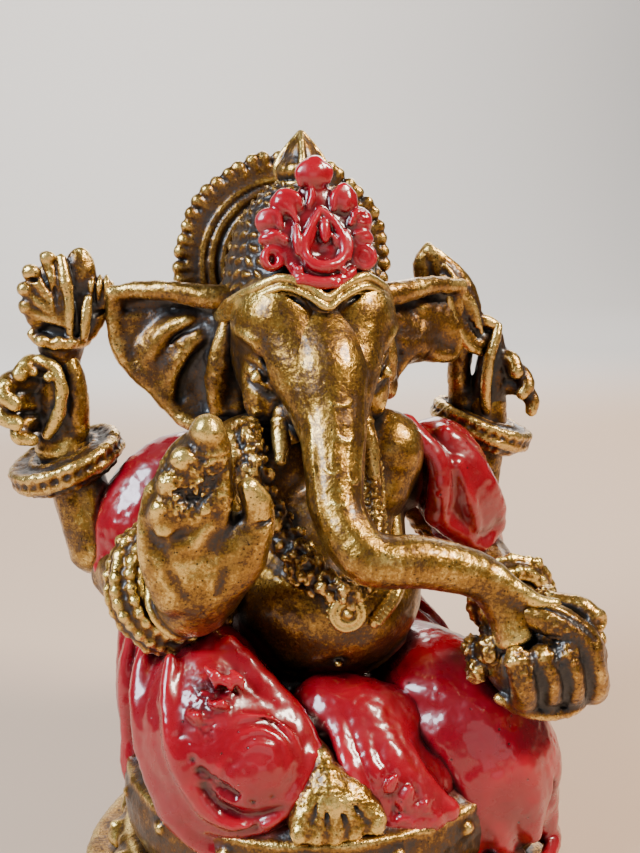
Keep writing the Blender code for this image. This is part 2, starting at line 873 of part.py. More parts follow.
def make_ear(side, name, low_reach, low_back, low_height):
    """A fan that hangs from the head, straight along the top and hollow in front.

    Its outer low corner is low_reach of the span out, low_back behind the head's middle and low_height above it.
    """
    root = HEAD_HALF_WIDTH - 2.5
    inner_top, inner_low = Vector((root, 3, 9.5)), Vector((root - 1, 3, -12))
    outer_top = Vector((root + 1.5 + EAR_SPAN, 11, 10.5))
    outer_low = Vector((root + EAR_SPAN * low_reach, low_back, low_height))

    def surface(u, v):
        inner = inner_low.lerp(inner_top, v)
        outer = outer_low.lerp(outer_top, v)
        bow = 4 * v * (1 - v)
        point = inner.lerp(outer, u) + Vector((1.5 * bow * u, 0, 0))
        hollow = 3.6 * math.sin(math.pi * min(1.0, u * 1.05)) * (0.35 + 0.65 * bow)
        rolled = 2.4 * max(0.0, (v - 0.8) / 0.2) ** 2 * math.sin(math.pi * u * 0.9)
        x, y, z = point
        return head(side * x, y + hollow - rolled, z)

    shell(name, surface, 7, 7, EAR_THICKNESS, GOLD)


def make_crown():
    """The cap, the shaped band along its front edge and the bud on top."""
    reach = CROWN_RADIUS
    high = CROWN_HEIGHT
    middle = head(0, 4.5, CROWN_SEAT)
    turns = [math.radians(a) for a in (90, 74, 56, 38, 20, 5)]
    dome = [(reach * math.cos(a), high * math.sin(a)) for a in turns]
    profile = [(0.0, high), *dome[1:], (reach, -2.0), (0.0, -2.0)]
    turned("crown_cap", profile, DARK_GOLD, steps=22, place=Matrix.Translation(middle))
    r = BAND_RADIUS
    edge = [(1.02, -1.5, -1.5), (0.95, 7.5, 0.5), (0.78, 14, 3), (0.48, 18, 5.4), (0.18, 19.5, 3.6)]
    left = [with_radius(head(-x * reach, 4.5 - y, CROWN_SEAT + z), r) for x, y, z in edge]
    right = [with_radius(head(x * reach, 4.5 - y, CROWN_SEAT + z), r) for x, y, z in edge]
    dip = with_radius(head(0, -16, CROWN_SEAT + 1.8), r * 1.15)
    cast("crown_band", [limb([*left, dip, *reversed(right)], steps=3)], 340, GOLD, voxel=0.6, smoothing=2)
    tip = FINIAL_RADIUS
    section = [(0.0, 1.0), (0.22, 0.93), (0.62, 0.66), (0.9, 0.4), (1.0, 0.2), (0.86, 0.1), (0.8, 0.0)]
    profile = [(r * tip, z * FINIAL_HEIGHT) for r, z in section] + [(0.62 * tip, -2.0), (0.0, -2.0)]
    place = Matrix.Translation(middle + Vector((0, 0, high - 2)))
    turned("crown_finial", profile, DARK_GOLD, steps=14, place=place)


def make_crest():
    """The red spray of curled leaves on the front of the crown, leaning back with it."""
    half, height = CREST_WIDTH / 2, CREST_HEIGHT
    lean = math.radians(17)

    def leaf(x, up, out, radii, turn=0):
        along = CROWN_SEAT + 3.2 + up * math.cos(lean)
        place = head(x, -15.2 + up * math.sin(lean) - out + 0.02 * x * x, along)
        return ball(place, radii, (-17, 0, turn))

    shapes = [
        leaf(0, 4.0, 0, (5.5, 2.6, 4.5)),
        leaf(0, 9.5, 0, (5.5, 3.0, 7.5)),
        leaf(0, 15, -0.5, (3.4, 2.6, 6)),
        leaf(0, height - 2.6, -0.6, (3.4, 2.4, 3.2)),
    ]
    for side in (-1, 1):
        shapes += [
            leaf(side * (half - 3.6), 5.2, 0, (3.6, 2.6, 3.8), side * 18),
            leaf(side * (half - 3.2), 11.2, 0, (3.4, 2.5, 3.2), side * 18),
            leaf(side * (half - 5.0), 16.2, 0, (3.8, 2.5, 3.4), side * 12),
            leaf(side * 3.0, 20.5, -0.2, (2.2, 2.2, 2.6)),
            leaf(side * 4.6, 8, 0, (2.4, 2.4, 7)),
        ]
    cast("crown_crest", shapes, 480, RED, voxel=0.6, smoothing=2)


def make_halo():
    """A scalloped disc that stands against the back of the crown."""
    outline = []
    for i in range(HALO_LOBES * 2):
        angle = 2 * math.pi * i / (HALO_LOBES * 2)
        radius = HALO_RADIUS + HALO_LOBE * (i % 2)
        outline.append((radius * math.cos(angle), radius * math.sin(angle)))
    half = HALO_THICKNESS / 2
    halo = slab("halo", outline, -half, half, GOLD)
    centre = head(0, CROWN_RADIUS + 4.5 - HALO_SINK, HALO_RISE) * MM
    halo.data.transform(Matrix.Translation(centre) @ Matrix.Rotation(math.radians(90), 4, "X"))


# ---------------------------------------------------------------- ornaments


def make_ornaments():
    """A thick garland that narrows to a braid on one side, a sacred thread and a round pendant."""
    r = GARLAND_RADIUS
    low = HEAD_HEIGHT - 44.5

    def strand(points, radius):
        rows = []
        for x, z, share in points:
            y = torso_front(x, low + z, -3.0) - radius * share * 0.5
            rows.append(with_radius(figure(x, y, low + z), radius * share))
        return limb(rows, steps=3)

    braid = [(-16, 28, 0.9), (-15.5, 22, 1.0), (-12.5, 15.5, 1.1), (-8, 9, 1.1), (-2, 4.5, 0.9)]
    braid += [(5, 5, 0.65), (10, 10.5, 0.65), (12, 17.5, 0.65), (12.5, 26, 0.65)]
    cast("garland", [strand(braid, r)], 380, DARK_GOLD, voxel=0.7, smoothing=2)
    thread = [(17.5, 25, 1.0), (16, 17, 1.0), (15, 10, 1.0), (11.5, 3, 1.0), (5.5, -2.5, 1.0)]
    cast("sacred_thread", [strand(thread, r * 0.55)], 200, GOLD, voxel=0.6, smoothing=2)
    size = PENDANT_RADIUS
    section = [(0.0, 1.4), (0.4, 1.5), (0.8, 1.0), (1.0, 0.4), (1.0, -0.6), (0.85, -1.4), (0.0, -1.6)]
    front = torso_front(0, low + 0.8, -3.0)
    place = aimed(figure(0, front - 1.3, low + 0.8), (0.0, -1.0, 0.1))
    turned("pendant", [(x * size, z) for x, z in section], GOLD, steps=12, place=place)


# ---------------------------------------------------------------- assembly

# Each piece keeps its shape where it meets one listed later, and is cut back from one listed earlier.
FIT_ORDER = [
    "crown_finial",
    "crown_crest",
    "right_tusk",
    "left_tusk",
    "crown_band",
    "trunk",
    "halo",
    "right_ear",
    "left_ear",
    "pendant",
    "garland",
    "sacred_thread",
    "upper_right_forearm",
    "upper_left_forearm",
    "lower_right_forearm",
    "lower_left_forearm",
    "upper_right_bangle",
    "upper_left_bangle",
    "lower_right_bracelet",
    "lower_left_bracelet",
    "upper_right_upperarm",
    "upper_left_upperarm",
    "lower_right_upperarm",
    "lower_left_upperarm",
    "sweet_pile",
    "offering_hand",
    "blessing_hand",
    "upper_right_hand",
    "upper_left_hand",
    "lotus_flower",
    "conch_shell",
    "right_foot",
    "left_foot",
    "wrap_pleats",
    "shawl_tail",
    "right_shawl",
    "left_shawl",
    "right_leg",
    "left_leg",
    "head_casting",
    "crown_cap",
    "torso",
    "shawl_back",
    "hip_wrap",
    "seat_cushion",
    "felt_pad",
    "lotus_petals",
    "plinth",
]


def box(obj):
    corners = [v.co for v in obj.data.vertices]
    return [(min(c[k] for c in corners), max(c[k] for c in corners)) for k in range(3)]


def boxes_meet(a, b):
    reach = SOCKET_OFFSET * MM
    return all(p[0] < q[1] + reach and q[0] < p[1] + reach for p, q in zip(a, b))


def fit_together():
    boxes = {name: box(pieces[name]) for name in FIT_ORDER}
    for name in FIT_ORDER:
        whole_shapes[name] = pieces[name].data.copy()
    for i, host in enumerate(FIT_ORDER):
        others = [other for other in FIT_ORDER[:i] if boxes_meet(boxes[host], boxes[other])]
        socket(host, *others)


collection = start_scene()
cutters = bpy.data.collections.new("cutters")
bpy.context.scene.collection.children.link(cutters)

make_plinth()
make_petal_ring()
make_seat()
make_legs()
make_torso()
make_shawl()
make_raised_arm(-1, "right", (-42.5, 7, -15), (-48, 11, 3), (-48.5, 11, 8))
make_raised_arm(1, "left", (41.5, 9, -13), (45.2, 12, 5.5), (46, 12, 10))
make_lotus((-46.5, 9, 27.5))
make_conch((41.0, 9.5, 27), (33.0, 10.5, 46))
make_right_lowered_arm()
make_left_lowered_arm()
make_head()
make_trunk()
make_tusks()
make_ear(-1, "right_ear", 0.4, 6, -13)
make_ear(1, "left_ear", 1.0, 11, -4)
make_crown()
make_crest()
make_halo()
make_ornaments()
fit_together()
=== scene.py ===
"""Visual model of the seated elephant-headed idol.

Every casting is sculpted as a signed distance field on a fine grid, in millimetres, turned into a mesh, and
put in the place of its CAD node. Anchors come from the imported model: the seat's top and the skull.
"""

import math

import bpy
import numpy as np
from mathutils import Euler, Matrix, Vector


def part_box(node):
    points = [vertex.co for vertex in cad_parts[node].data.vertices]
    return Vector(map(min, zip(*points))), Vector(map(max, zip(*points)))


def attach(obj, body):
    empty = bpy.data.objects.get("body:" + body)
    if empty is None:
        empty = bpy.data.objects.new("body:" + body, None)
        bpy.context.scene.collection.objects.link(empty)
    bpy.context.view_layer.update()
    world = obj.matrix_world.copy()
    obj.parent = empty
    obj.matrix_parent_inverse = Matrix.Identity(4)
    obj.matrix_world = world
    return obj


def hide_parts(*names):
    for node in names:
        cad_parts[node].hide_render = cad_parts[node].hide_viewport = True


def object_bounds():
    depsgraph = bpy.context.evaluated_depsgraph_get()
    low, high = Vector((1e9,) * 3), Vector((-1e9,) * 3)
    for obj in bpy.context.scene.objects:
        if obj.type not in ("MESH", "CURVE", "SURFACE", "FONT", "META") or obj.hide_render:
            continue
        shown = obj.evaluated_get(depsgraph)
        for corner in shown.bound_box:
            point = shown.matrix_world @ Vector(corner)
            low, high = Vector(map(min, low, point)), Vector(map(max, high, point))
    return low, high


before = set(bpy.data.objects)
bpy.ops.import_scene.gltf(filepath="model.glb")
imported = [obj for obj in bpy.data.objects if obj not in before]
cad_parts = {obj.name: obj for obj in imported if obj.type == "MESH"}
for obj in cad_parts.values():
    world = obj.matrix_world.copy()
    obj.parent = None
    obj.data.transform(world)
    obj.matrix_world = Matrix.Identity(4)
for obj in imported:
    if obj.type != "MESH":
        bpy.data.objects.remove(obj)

CAD_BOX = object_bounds()
MM = 0.001
FAR = np.float32(6.0)
ROPE_MARGIN = 1.6  # how far outside itself a rope still fills the field
rng = np.random.default_rng(7)

# Anchors, in millimetres


def corners(node):
    low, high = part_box(node)
    return np.array(low) / MM, np.array(high) / MM


def centre(node):
    low, high = corners(node)
    return (low + high) / 2


SPINE_BACK = 16.0  # the spine behind the plinth's centre
CROWN_BACK = 4.5  # the crown's axis behind the skull's centre
CROWN_RISE = 9.0  # its foot above the skull's centre
BAND_REACH = 16.6
HALO_RISE = 16.0
SEAT_TOP = corners("seat_cushion")[1][2]
SPINE = np.array((centre("plinth")[0], centre("plinth")[1] + SPINE_BACK, SEAT_TOP))
SKULL = np.array((centre("halo")[0], centre("crown_finial")[1] - CROWN_BACK, centre("halo")[2] - HALO_RISE))


def F(x, y, z):
    """A point measured from the seat's top at the spine."""
    return SPINE + np.array((x, y, z), float)


def H(x, y, z):
    """A point measured from the middle of the skull."""
    return SKULL + np.array((x, y, z), float)


UP = (0, 0, 1)


def unit(vector):
    vector = np.asarray(vector, float)
    return vector / np.linalg.norm(vector)


# ---------------------------------------------------------------- camera

LENS = 42.2
SENSOR_WIDTH = 36.0
CAMERA_PLACE = (-46.3, -198.5, 103.9)  # from the seat's top at the spine
LOOKING_DOWN = 12.0  # degrees
LOOKING_ASIDE = 14.15

camera_data = bpy.data.cameras.new("camera")
camera = bpy.data.objects.new("camera", camera_data)
bpy.context.scene.collection.objects.link(camera)
bpy.context.scene.camera = camera
camera_data.lens = LENS
camera_data.sensor_width = SENSOR_WIDTH
camera.location = Vector(F(*CAMERA_PLACE)) * MM
camera.rotation_euler = Euler([math.radians(a) for a in (90 - LOOKING_DOWN, 0.0, -LOOKING_ASIDE)])
camera_data.clip_start = 0.005
camera_data.clip_end = 20.0

# ---------------------------------------------------------------- clay: distance fields on a grid


def spline(points, gap=0.6):
    """A Catmull-Rom curve through rows of any width; the first three columns are a place."""
    rows = [np.asarray(p, float) for p in points]
    if len(rows) == 2:
        count = max(1, int(np.linalg.norm(rows[1][:3] - rows[0][:3]) / (gap * 4)))
        return [rows[0] + (rows[1] - rows[0]) * i / count for i in range(count + 1)]
    rows = [2 * rows[0] - rows[1], *rows, 2 * rows[-1] - rows[-2]]
    made = []
    for a, b, c, d in zip(rows, rows[1:], rows[2:], rows[3:]):
        count = max(2, int(np.linalg.norm((c - b)[:3]) / gap))
        for i in range(count):
            t = i / count
            made.append(0.5 * (2 * b + (c - a) * t + (2 * a - 5 * b + 4 * c - d) * t**2
                               + (3 * b - a - 3 * c + d) * t**3))
    made.append(rows[-2])
    return made


def path(place, *rows):
    """Rows of x, y, z and radius, placed by F or H."""
    return [np.array((*place(*row[:3]), row[3])) for row in rows]


def turn_matrix(degrees):
    return np.array(Euler([math.radians(d) for d in degrees]).to_matrix())


class Ball:
    """An ellipsoid, turned about X, Y and Z in degrees."""

    def __init__(self, middle, radii, turn=(0, 0, 0)):
        self.middle = np.asarray(middle, float)
        self.radii = np.asarray(radii if np.ndim(radii) else (radii,) * 3, float)
        self.turn = turn_matrix(turn)
        self.plain = not any(turn)
        reach = np.sqrt(((self.turn * self.radii) ** 2).sum(1))
        self.low, self.high = self.middle - reach, self.middle + reach

    def distance(self, x, y, z):
        d = [axis - m for axis, m in zip((x, y, z), self.middle.astype(np.float32))]
        if not self.plain:
            r = self.turn.astype(np.float32)
            d = [r[0, i] * d[0] + r[1, i] * d[1] + r[2, i] * d[2] for i in range(3)]
        scaled = [(d[i] / np.float32(self.radii[i])) ** 2 for i in range(3)]
        k0 = np.sqrt(scaled[0] + scaled[1] + scaled[2])
        s = [scaled[i] / np.float32(self.radii[i] ** 2) for i in range(3)]
        k1 = np.sqrt(s[0] + s[1] + s[2])
        return k0 * (k0 - 1) / np.maximum(k1, 1e-6)


class Turned:
    """A shape turned round an axis through its middle."""

    def __init__(self, middle, axis, radius):
        self.middle = np.asarray(middle, float)
        self.axis = unit(axis)
        self.radius = radius
        self.spread = radius * np.sqrt(np.maximum(0, 1 - self.axis**2))

    def across(self, x, y, z):
        """The distance from the axis, and the distance along it from the middle."""
        d = [axis - m for axis, m in zip((x, y, z), self.middle.astype(np.float32))]
        a = self.axis.astype(np.float32)
        h = a[0] * d[0] + a[1] * d[1] + a[2] * d[2]
        return np.sqrt(np.maximum(d[0] ** 2 + d[1] ** 2 + d[2] ** 2 - h * h, 0)), h


class Torus(Turned):
    def __init__(self, middle, axis, radius, tube):
        super().__init__(middle, axis, radius)
        self.tube = tube
        reach = self.spread + tube
        self.low, self.high = self.middle - reach, self.middle + reach

    def distance(self, x, y, z):
        rho, h = self.across(x, y, z)
        return np.sqrt((rho - self.radius) ** 2 + h * h) - self.tube


class Disc(Turned):
    """A disc with a rounded edge."""

    def __init__(self, middle, axis, radius, half, edge):
        super().__init__(middle, axis, radius)
        self.half, self.edge = half, edge
        reach = self.spread + half * np.abs(self.axis)
        self.low, self.high = self.middle - reach, self.middle + reach

    def distance(self, x, y, z):
        rho, h = self.across(x, y, z)
        q = rho - (self.radius - self.edge)
        w = np.abs(h) - (self.half - self.edge)
        outside = np.sqrt(np.maximum(q, 0) ** 2 + np.maximum(w, 0) ** 2)
        return np.minimum(np.maximum(q, w), 0) + outside - self.edge


class Rope:
    """A tapering limb through rows of x, y, z and radius. It is times thinner along the direction flat."""

    def __init__(self, points, gap=0.6, flat=None, times=1.0):
        self.rows = spline(points, gap)
        self.flat = None
        if flat is not None:
            flat = np.asarray(flat, float)
            self.flat, self.times = flat / np.linalg.norm(flat), times
        rows = np.array(self.rows)
        reach = np.abs(rows[:, 3:4])
        self.low = (rows[:, :3] - reach).min(0)
        self.high = (rows[:, :3] + reach).max(0)

    def distance(self, x, y, z):
        axes = (x.ravel(), y.ravel(), z.ravel())
        out = np.full([len(a) for a in axes], FAR, np.float32)
        for a, b in zip(self.rows, self.rows[1:]):
            reach = max(a[3], b[3]) + ROPE_MARGIN
            cuts = [slice(np.searchsorted(axes[i], min(a[i], b[i]) - reach), np.searchsorted(axes[i],
                    max(a[i], b[i]) + reach)) for i in range(3)]
            if any(c.start >= c.stop for c in cuts):
                continue
            px = axes[0][cuts[0]][:, None, None] - np.float32(a[0])
            py = axes[1][cuts[1]][None, :, None] - np.float32(a[1])
            pz = axes[2][cuts[2]][None, None, :] - np.float32(a[2])
            ba = (b[:3] - a[:3]).astype(np.float32)
            if self.flat is not None:
                n = self.flat.astype(np.float32)
                along = (px * n[0] + py * n[1] + pz * n[2]) * np.float32(self.times - 1)
                px, py, pz = px + along * n[0], py + along * n[1], pz + along * n[2]
                ba = ba + n * (ba @ n) * np.float32(self.times - 1)
            h = np.clip((px * ba[0] + py * ba[1] + pz * ba[2]) / max(float(ba @ ba), 1e-9), 0, 1)
            d = np.sqrt((px - h * ba[0]) ** 2 + (py - h * ba[1]) ** 2 + (pz - h * ba[2]) ** 2)
            d = d - (np.float32(a[3]) + h * np.float32(b[3] - a[3]))
            view = out[cuts[0], cuts[1], cuts[2]]
            np.minimum(view, d, out=view)
        return out


def limb(place, *rows):
    return Rope(path(place, *rows))


def finger(place, *rows):
    return Rope(path(place, *rows), 0.5)


class Clay:
    """A lump that shapes are added to and carved from. Each change touches only the shape's own window."""

    def __init__(self, low, high, grain):
        self.grain = grain
        self.low = np.asarray(low, float) - 2 * grain
        counts = np.ceil((np.asarray(high, float) + 2 * grain - self.low) / grain).astype(int) + 1
        self.axes = [(self.low[i] + grain * np.arange(counts[i])).astype(np.float32) for i in range(3)]
        self.field = np.full(counts, FAR, np.float32)

    def window(self, shape, margin):
        cuts = tuple(slice(np.searchsorted(self.axes[i], shape.low[i] - margin),
                np.searchsorted(self.axes[i], shape.high[i] + margin)) for i in range(3))
        if any(c.start >= c.stop for c in cuts):
            return None, None
        x, y, z = (self.axes[i][cuts[i]] for i in range(3))
        return cuts, shape.distance(x[:, None, None], y[None, :, None], z[None, None, :])

    def add(self, shape, soft=0.3):
        cuts, d = self.window(shape, soft + 2 * self.grain)
        if cuts is not None:
            f = self.field[cuts]
            h = np.maximum(soft - np.abs(f - d), 0) / max(soft, 1e-4)
            self.field[cuts] = np.minimum(f, d) - h * h * (soft / 4)

    def carve(self, shape, soft=0.3):
        cuts, d = self.window(shape, soft + 2 * self.grain)
        if cuts is not None:
            f = self.field[cuts]
            h = np.maximum(soft - np.abs(f + d), 0) / max(soft, 1e-4)
            self.field[cuts] = np.maximum(f, -d) + h * h * (soft / 4)

    def keep(self, above, below=None):
        """Cuts the lump off flat underneath, and on top too when below is given."""
        height = self.axes[2][None, None, :]
        self.field = np.maximum(self.field, np.float32(above) - height)
        if below is not None:
            self.field = np.maximum(self.field, height - np.float32(below))


def blurred(field, cells):
    """A box blur, twice, of 2 * cells + 1 samples along each axis."""
    for _ in range(2):
        for axis in range(3):
            width = 2 * cells + 1
            padded = np.pad(field, [(cells + 1, cells) if i == axis else (0, 0) for i in range(3)],
                    mode="edge")
            total = np.cumsum(padded, axis=axis, dtype=np.float32)
            upper = [slice(width, None) if i == axis else slice(None) for i in range(3)]
            lower = [slice(None, -width) if i == axis else slice(None) for i in range(3)]
            field = (total[tuple(upper)] - total[tuple(lower)]) / np.float32(width)
    return field


CELL_CORNERS = np.array([(i & 1, (i >> 1) & 1, (i >> 2) & 1) for i in range(8)])
CELL_EDGES = [(a, b) for a in range(8) for b in range(8) if a < b and bin(a ^ b).count("1") == 1]


def weighted_corners(f):
    """Each corner of a grid cell with its weight, for points at the fractions f of the cell."""
    for offset in CELL_CORNERS:
        yield offset, np.prod([f[:, k] if offset[k] else 1 - f[:, k] for k in range(3)], axis=0)


def interpolated(field, low, cell, points):
    """The value of a field on a grid at points between its grid points."""
    p = (points - low) / cell
    i = np.clip(np.floor(p).astype(int), 0, np.array(field.shape) - 2)
    return sum(weight * field[tuple((i + offset).T)] for offset, weight in weighted_corners(np.clip(p - i,
            0, 1)))


def skin(clay):
    """The zero surface as vertices and quads: one vertex in each cell that the surface crosses."""
    field = clay.field
    for axis in range(3):
        for end in (0, -1):
            wall = [slice(None)] * 3
            wall[axis] = end
            field[tuple(wall)] = np.maximum(field[tuple(wall)], 0.05)
    inside = field < 0
    n = np.array(field.shape)
    count = np.zeros(n - 1, np.uint8)
    for c in CELL_CORNERS:
        count += inside[c[0]:n[0] - 1 + c[0], c[1]:n[1] - 1 + c[1], c[2]:n[2] - 1 + c[2]]
    active = (count > 0) & (count < 8)
    cells = np.argwhere(active)
    number = np.full(n - 1, -1, np.int64)
    number[active] = np.arange(len(cells))
    values = [field[cells[:, 0] + c[0], cells[:, 1] + c[1], cells[:, 2] + c[2]] for c in CELL_CORNERS]
    place = np.zeros((len(cells), 3))
    hits = np.zeros(len(cells))
    for a, b in CELL_EDGES:
        fa, fb = values[a], values[b]
        cross = (fa < 0) != (fb < 0)
        t = np.where(cross, fa / np.where(cross, fa - fb, 1), 0)
        step = CELL_CORNERS[b] - CELL_CORNERS[a]
        place += np.where(cross[:, None], CELL_CORNERS[a] + t[:, None] * step, 0)
        hits += cross
    verts = clay.low + (cells + place / hits[:, None]) * clay.grain
    quads = []
    for axis in range(3):
        u, v = (axis + 1) % 3, (axis + 2) % 3
        one = [slice(None)] * 3
        two = [slice(None)] * 3
        one[axis], two[axis] = slice(None, -1), slice(1, None)
        first, second = inside[tuple(one)], inside[tuple(two)]
        edge = np.argwhere(first != second)
        edge = edge[(edge[:, u] > 0) & (edge[:, v] > 0) & (edge[:, u] < n[u] - 1) & (edge[:, v] < n[v] - 1)]
        ring = []
        for du, dv in ((-1, -1), (0, -1), (0, 0), (-1, 0)):
            at = edge.copy()
            at[:, u] += du
            at[:, v] += dv
            ring.append(number[at[:, 0], at[:, 1], at[:, 2]])
        ring = np.stack(ring, 1)
        starts_inside = first[edge[:, 0], edge[:, 1], edge[:, 2]]
        ring[~starts_inside] = ring[~starts_inside][:, ::-1]
        quads.append(ring)
    return verts, np.concatenate(quads)


def main_body(verts, quads):
    """Drops crumbs: keeps the largest connected surface."""
    a = quads.ravel()
    b = np.roll(quads, -1, axis=1).ravel()
    label = np.arange(len(verts))
    while True:
        low = np.minimum(label[a], label[b])
        fresh = label.copy()
        np.minimum.at(fresh, a, low)
        np.minimum.at(fresh, b, low)
        fresh = fresh[fresh]
        if np.array_equal(fresh, label):
            break
        label = fresh
    keep = label == np.bincount(label).argmax()
    renumber = np.cumsum(keep) - 1
    return verts[keep], renumber[quads[keep[quads[:, 0]]]]


def smoothed(verts, quads):
    """Moves each vertex halfway to the mean of its neighbours."""
    a = quads.ravel()
    b = np.roll(quads, -1, axis=1).ravel()
    ends = np.concatenate((a, b))
    others = np.concatenate((b, a))
    count = np.maximum(np.bincount(ends, minlength=len(verts)), 1)
    mean = np.stack([np.bincount(ends, verts[others, k], len(verts)) / count for k in range(3)], 1)
    return verts + (mean - verts) * 0.5


def lattice(i, seed):
    h = (i[:, 0] * 73856093) ^ (i[:, 1] * 19349663) ^ (i[:, 2] * 83492791) ^ (seed * 2654435761)
    h = (h ^ (h >> 13)) * 1274126177
    return ((h ^ (h >> 16)) & 0xFFFF) / 32767.5 - 1


def roughness_noise(points, size, seed):
    """Smooth noise from -1 to 1 whose lumps are about size across."""
    p = points / size + 1000.0
    i = np.floor(p).astype(np.int64)
    f = p - i
    f = f * f * (3 - 2 * f)
    return sum(weight * lattice(i + offset, seed) for offset, weight in weighted_corners(f))


def vertex_normals(verts, quads):
    a, b, c, d = (verts[quads[:, k]] for k in range(4))
    face = np.cross(c - a, d - b)
    made = np.stack([np.bincount(quads.ravel(), np.repeat(face[:, k], 4), len(verts)) for k in range(3)], 1)
    return made / np.maximum(np.linalg.norm(made, axis=1), 1e-9)[:, None]


# ---------------------------------------------------------------- crowding: how hemmed in a surface is, for painted shade between parts

FINE_BLUR = 0.55  # how wide the hollows are that "fine" and "broad" pick out
BROAD_BLUR = 1.5
FIELD_LIMIT = 2.5
CROWD_CELL = 1.0
CROWD_MARGIN = 12
SHADE_REACH = 2.2  # how far off the surface neighbours are looked for, for the painted shade
UNSHADED_SHARE = 0.30  # a share of filled space that gets no painted shade yet
SHADE_GAIN = 1.6
SPILL_REACH = 1.0
CROWD_LOW = np.array(CAD_BOX[0]) / MM - CROWD_MARGIN
CROWD_SHAPE = np.ceil((np.array(CAD_BOX[1]) / MM + CROWD_MARGIN - CROWD_LOW) / CROWD_CELL).astype(int) + 1
filled = np.zeros(CROWD_SHAPE, np.float32)
red_filled = np.zeros(CROWD_SHAPE, np.float32)
waiting = []  # sculpted pieces that wait for their materials


def note_fill(clay, is_red):
    inside = np.argwhere(clay.field < 0)
    points = clay.low + inside * clay.grain
    cell = np.clip(np.round((points - CROWD_LOW) / CROWD_CELL).astype(int), 0, CROWD_SHAPE - 1)
    flat = np.ravel_multi_index(cell.T, CROWD_SHAPE)
    part = np.bincount(flat, minlength=filled.size).reshape(CROWD_SHAPE) * (clay.grain / CROWD_CELL) ** 3
    filled[:] = np.minimum(filled + part, 1)
    if is_red:
        red_filled[:] = np.minimum(red_filled + part, 1)


def cast(name, clay, finish, lumps, grit=0.0, polish=1, rough_spots=()):
    """Makes the mesh of a sculpted lump and keeps it for painting.

    lumps and grit are surface unevenness. rough_spots are (middle, radius, grit) of crumbly places.
    """
    verts, quads = main_body(*skin(clay))
    for _ in range(polish):
        verts = smoothed(verts, quads)
    near = np.clip(clay.field, -FIELD_LIMIT, FIELD_LIMIT)
    fine = interpolated(blurred(near, max(1, round(FINE_BLUR / clay.grain))), clay.low, clay.grain, verts)
    broad = interpolated(blurred(near, max(2, round(BROAD_BLUR / clay.grain))), clay.low, clay.grain, verts)
    normals = vertex_normals(verts, quads)
    seed = sum(ord(c) * (i + 3) for i, c in enumerate(name))
    wave = roughness_noise(verts, 2.6, seed) * 0.7 + roughness_noise(verts, 1.1, seed + 1) * 0.4
    verts = verts + normals * (wave * lumps)[:, None]
    amount = np.full(len(verts), float(grit))
    for middle, radius, level in rough_spots:
        near_by = np.clip(1.5 - np.linalg.norm(verts - middle, axis=1) / radius, 0, 1)
        amount = np.maximum(amount, level * near_by)
    if amount.max() > 0:
        crumb = np.abs(roughness_noise(verts, 0.9, seed + 2)) + 0.6 * np.abs(roughness_noise(verts, 0.5,
                seed + 3))
        verts = verts + normals * ((crumb - 0.5) * amount)[:, None]
        fine = fine + (crumb - 0.6) * amount * 0.9
    note_fill(clay, finish == "red_enamel")
    waiting.append((name, verts, quads, fine, broad, finish))


# ---------------------------------------------------------------- patterns


def circle(middle, axis, radius, count, start=0.0):
    """Points round a circle, as (point, outward) pairs."""
    axis = unit(axis)
    first = np.array(UP if abs(axis[2]) < 0.9 else (1, 0, 0), float)
    u = unit(np.cross(axis, np.cross(first, axis)))
    v = np.cross(axis, u)
    made = []
    for i in range(count):
        angle = math.radians(start + 360.0 * i / count)
        out = math.cos(angle) * u + math.sin(angle) * v
        made.append((np.asarray(middle) + out * radius, out))
    return made


def heading(line, i):
    """The direction of a line of rows at its row i."""
    return unit(line[min(i + 1, len(line) - 1)][:3] - line[i - 1][:3])


def front_of(masses, x, z, least=0.0):
    """How far forward a group of ellipsoids reaches at x and z."""
    front = least
    for middle, radii in masses:
        inside = 1 - ((x - middle[0]) / radii[0]) ** 2 - ((z - middle[2]) / radii[2]) ** 2
        if inside > 0:
            front = min(front, middle[1] - radii[1] * math.sqrt(inside))
    return front


def on_front(place, masses, rows, lift=0.0, least=0.0):
    """Rows of x, z and radius laid on the front of a group of ellipsoids."""
    return [(*place(x, front_of(masses, x, z, least) - lift, z), r) for x, z, r in rows]


# ---------------------------------------------------------------- crown, crest and halo


def sculpt_halo():
    middle = H(0, 20.6, HALO_RISE)
    front = (0, -1, 0)
    clay = Clay(middle - (26, 5, 26), middle + (26, 5, 26), 0.45)
    clay.add(Disc(middle, front, 21.5, 1.5, 0.7), 0.1)
    for i in range(50):
        angle = 2 * math.pi * (i + 0.12 * math.sin(3.3 * i)) / 50
        out = np.array((math.cos(angle), 0, math.sin(angle)))
        reach = 22.6 + 0.3 * math.sin(5.1 * i)
        clay.add(Rope([(*(middle + out * 19.4 + (0, -0.3, 0)), 1.25), (*(middle + out * reach), 1.62)]), 0.25)
    for radius, tube in ((18.1, 0.75), (16.1, 1.0), (13.7, 1.0), (11.4, 0.9)):
        clay.add(Torus(middle + (0, -1.5, 0), front, radius, tube), 0.4)
    for radius in (18.0, 12.0):
        clay.add(Torus(middle + (0, 1.4, 0), front, radius, 0.8), 0.2)
    clay.add(Ball(middle + (0, 1.2, 0), (5, 1.4, 5)), 0.3)
    cast("halo", clay, "dark_gold_paint", 0.13, grit=0.05)


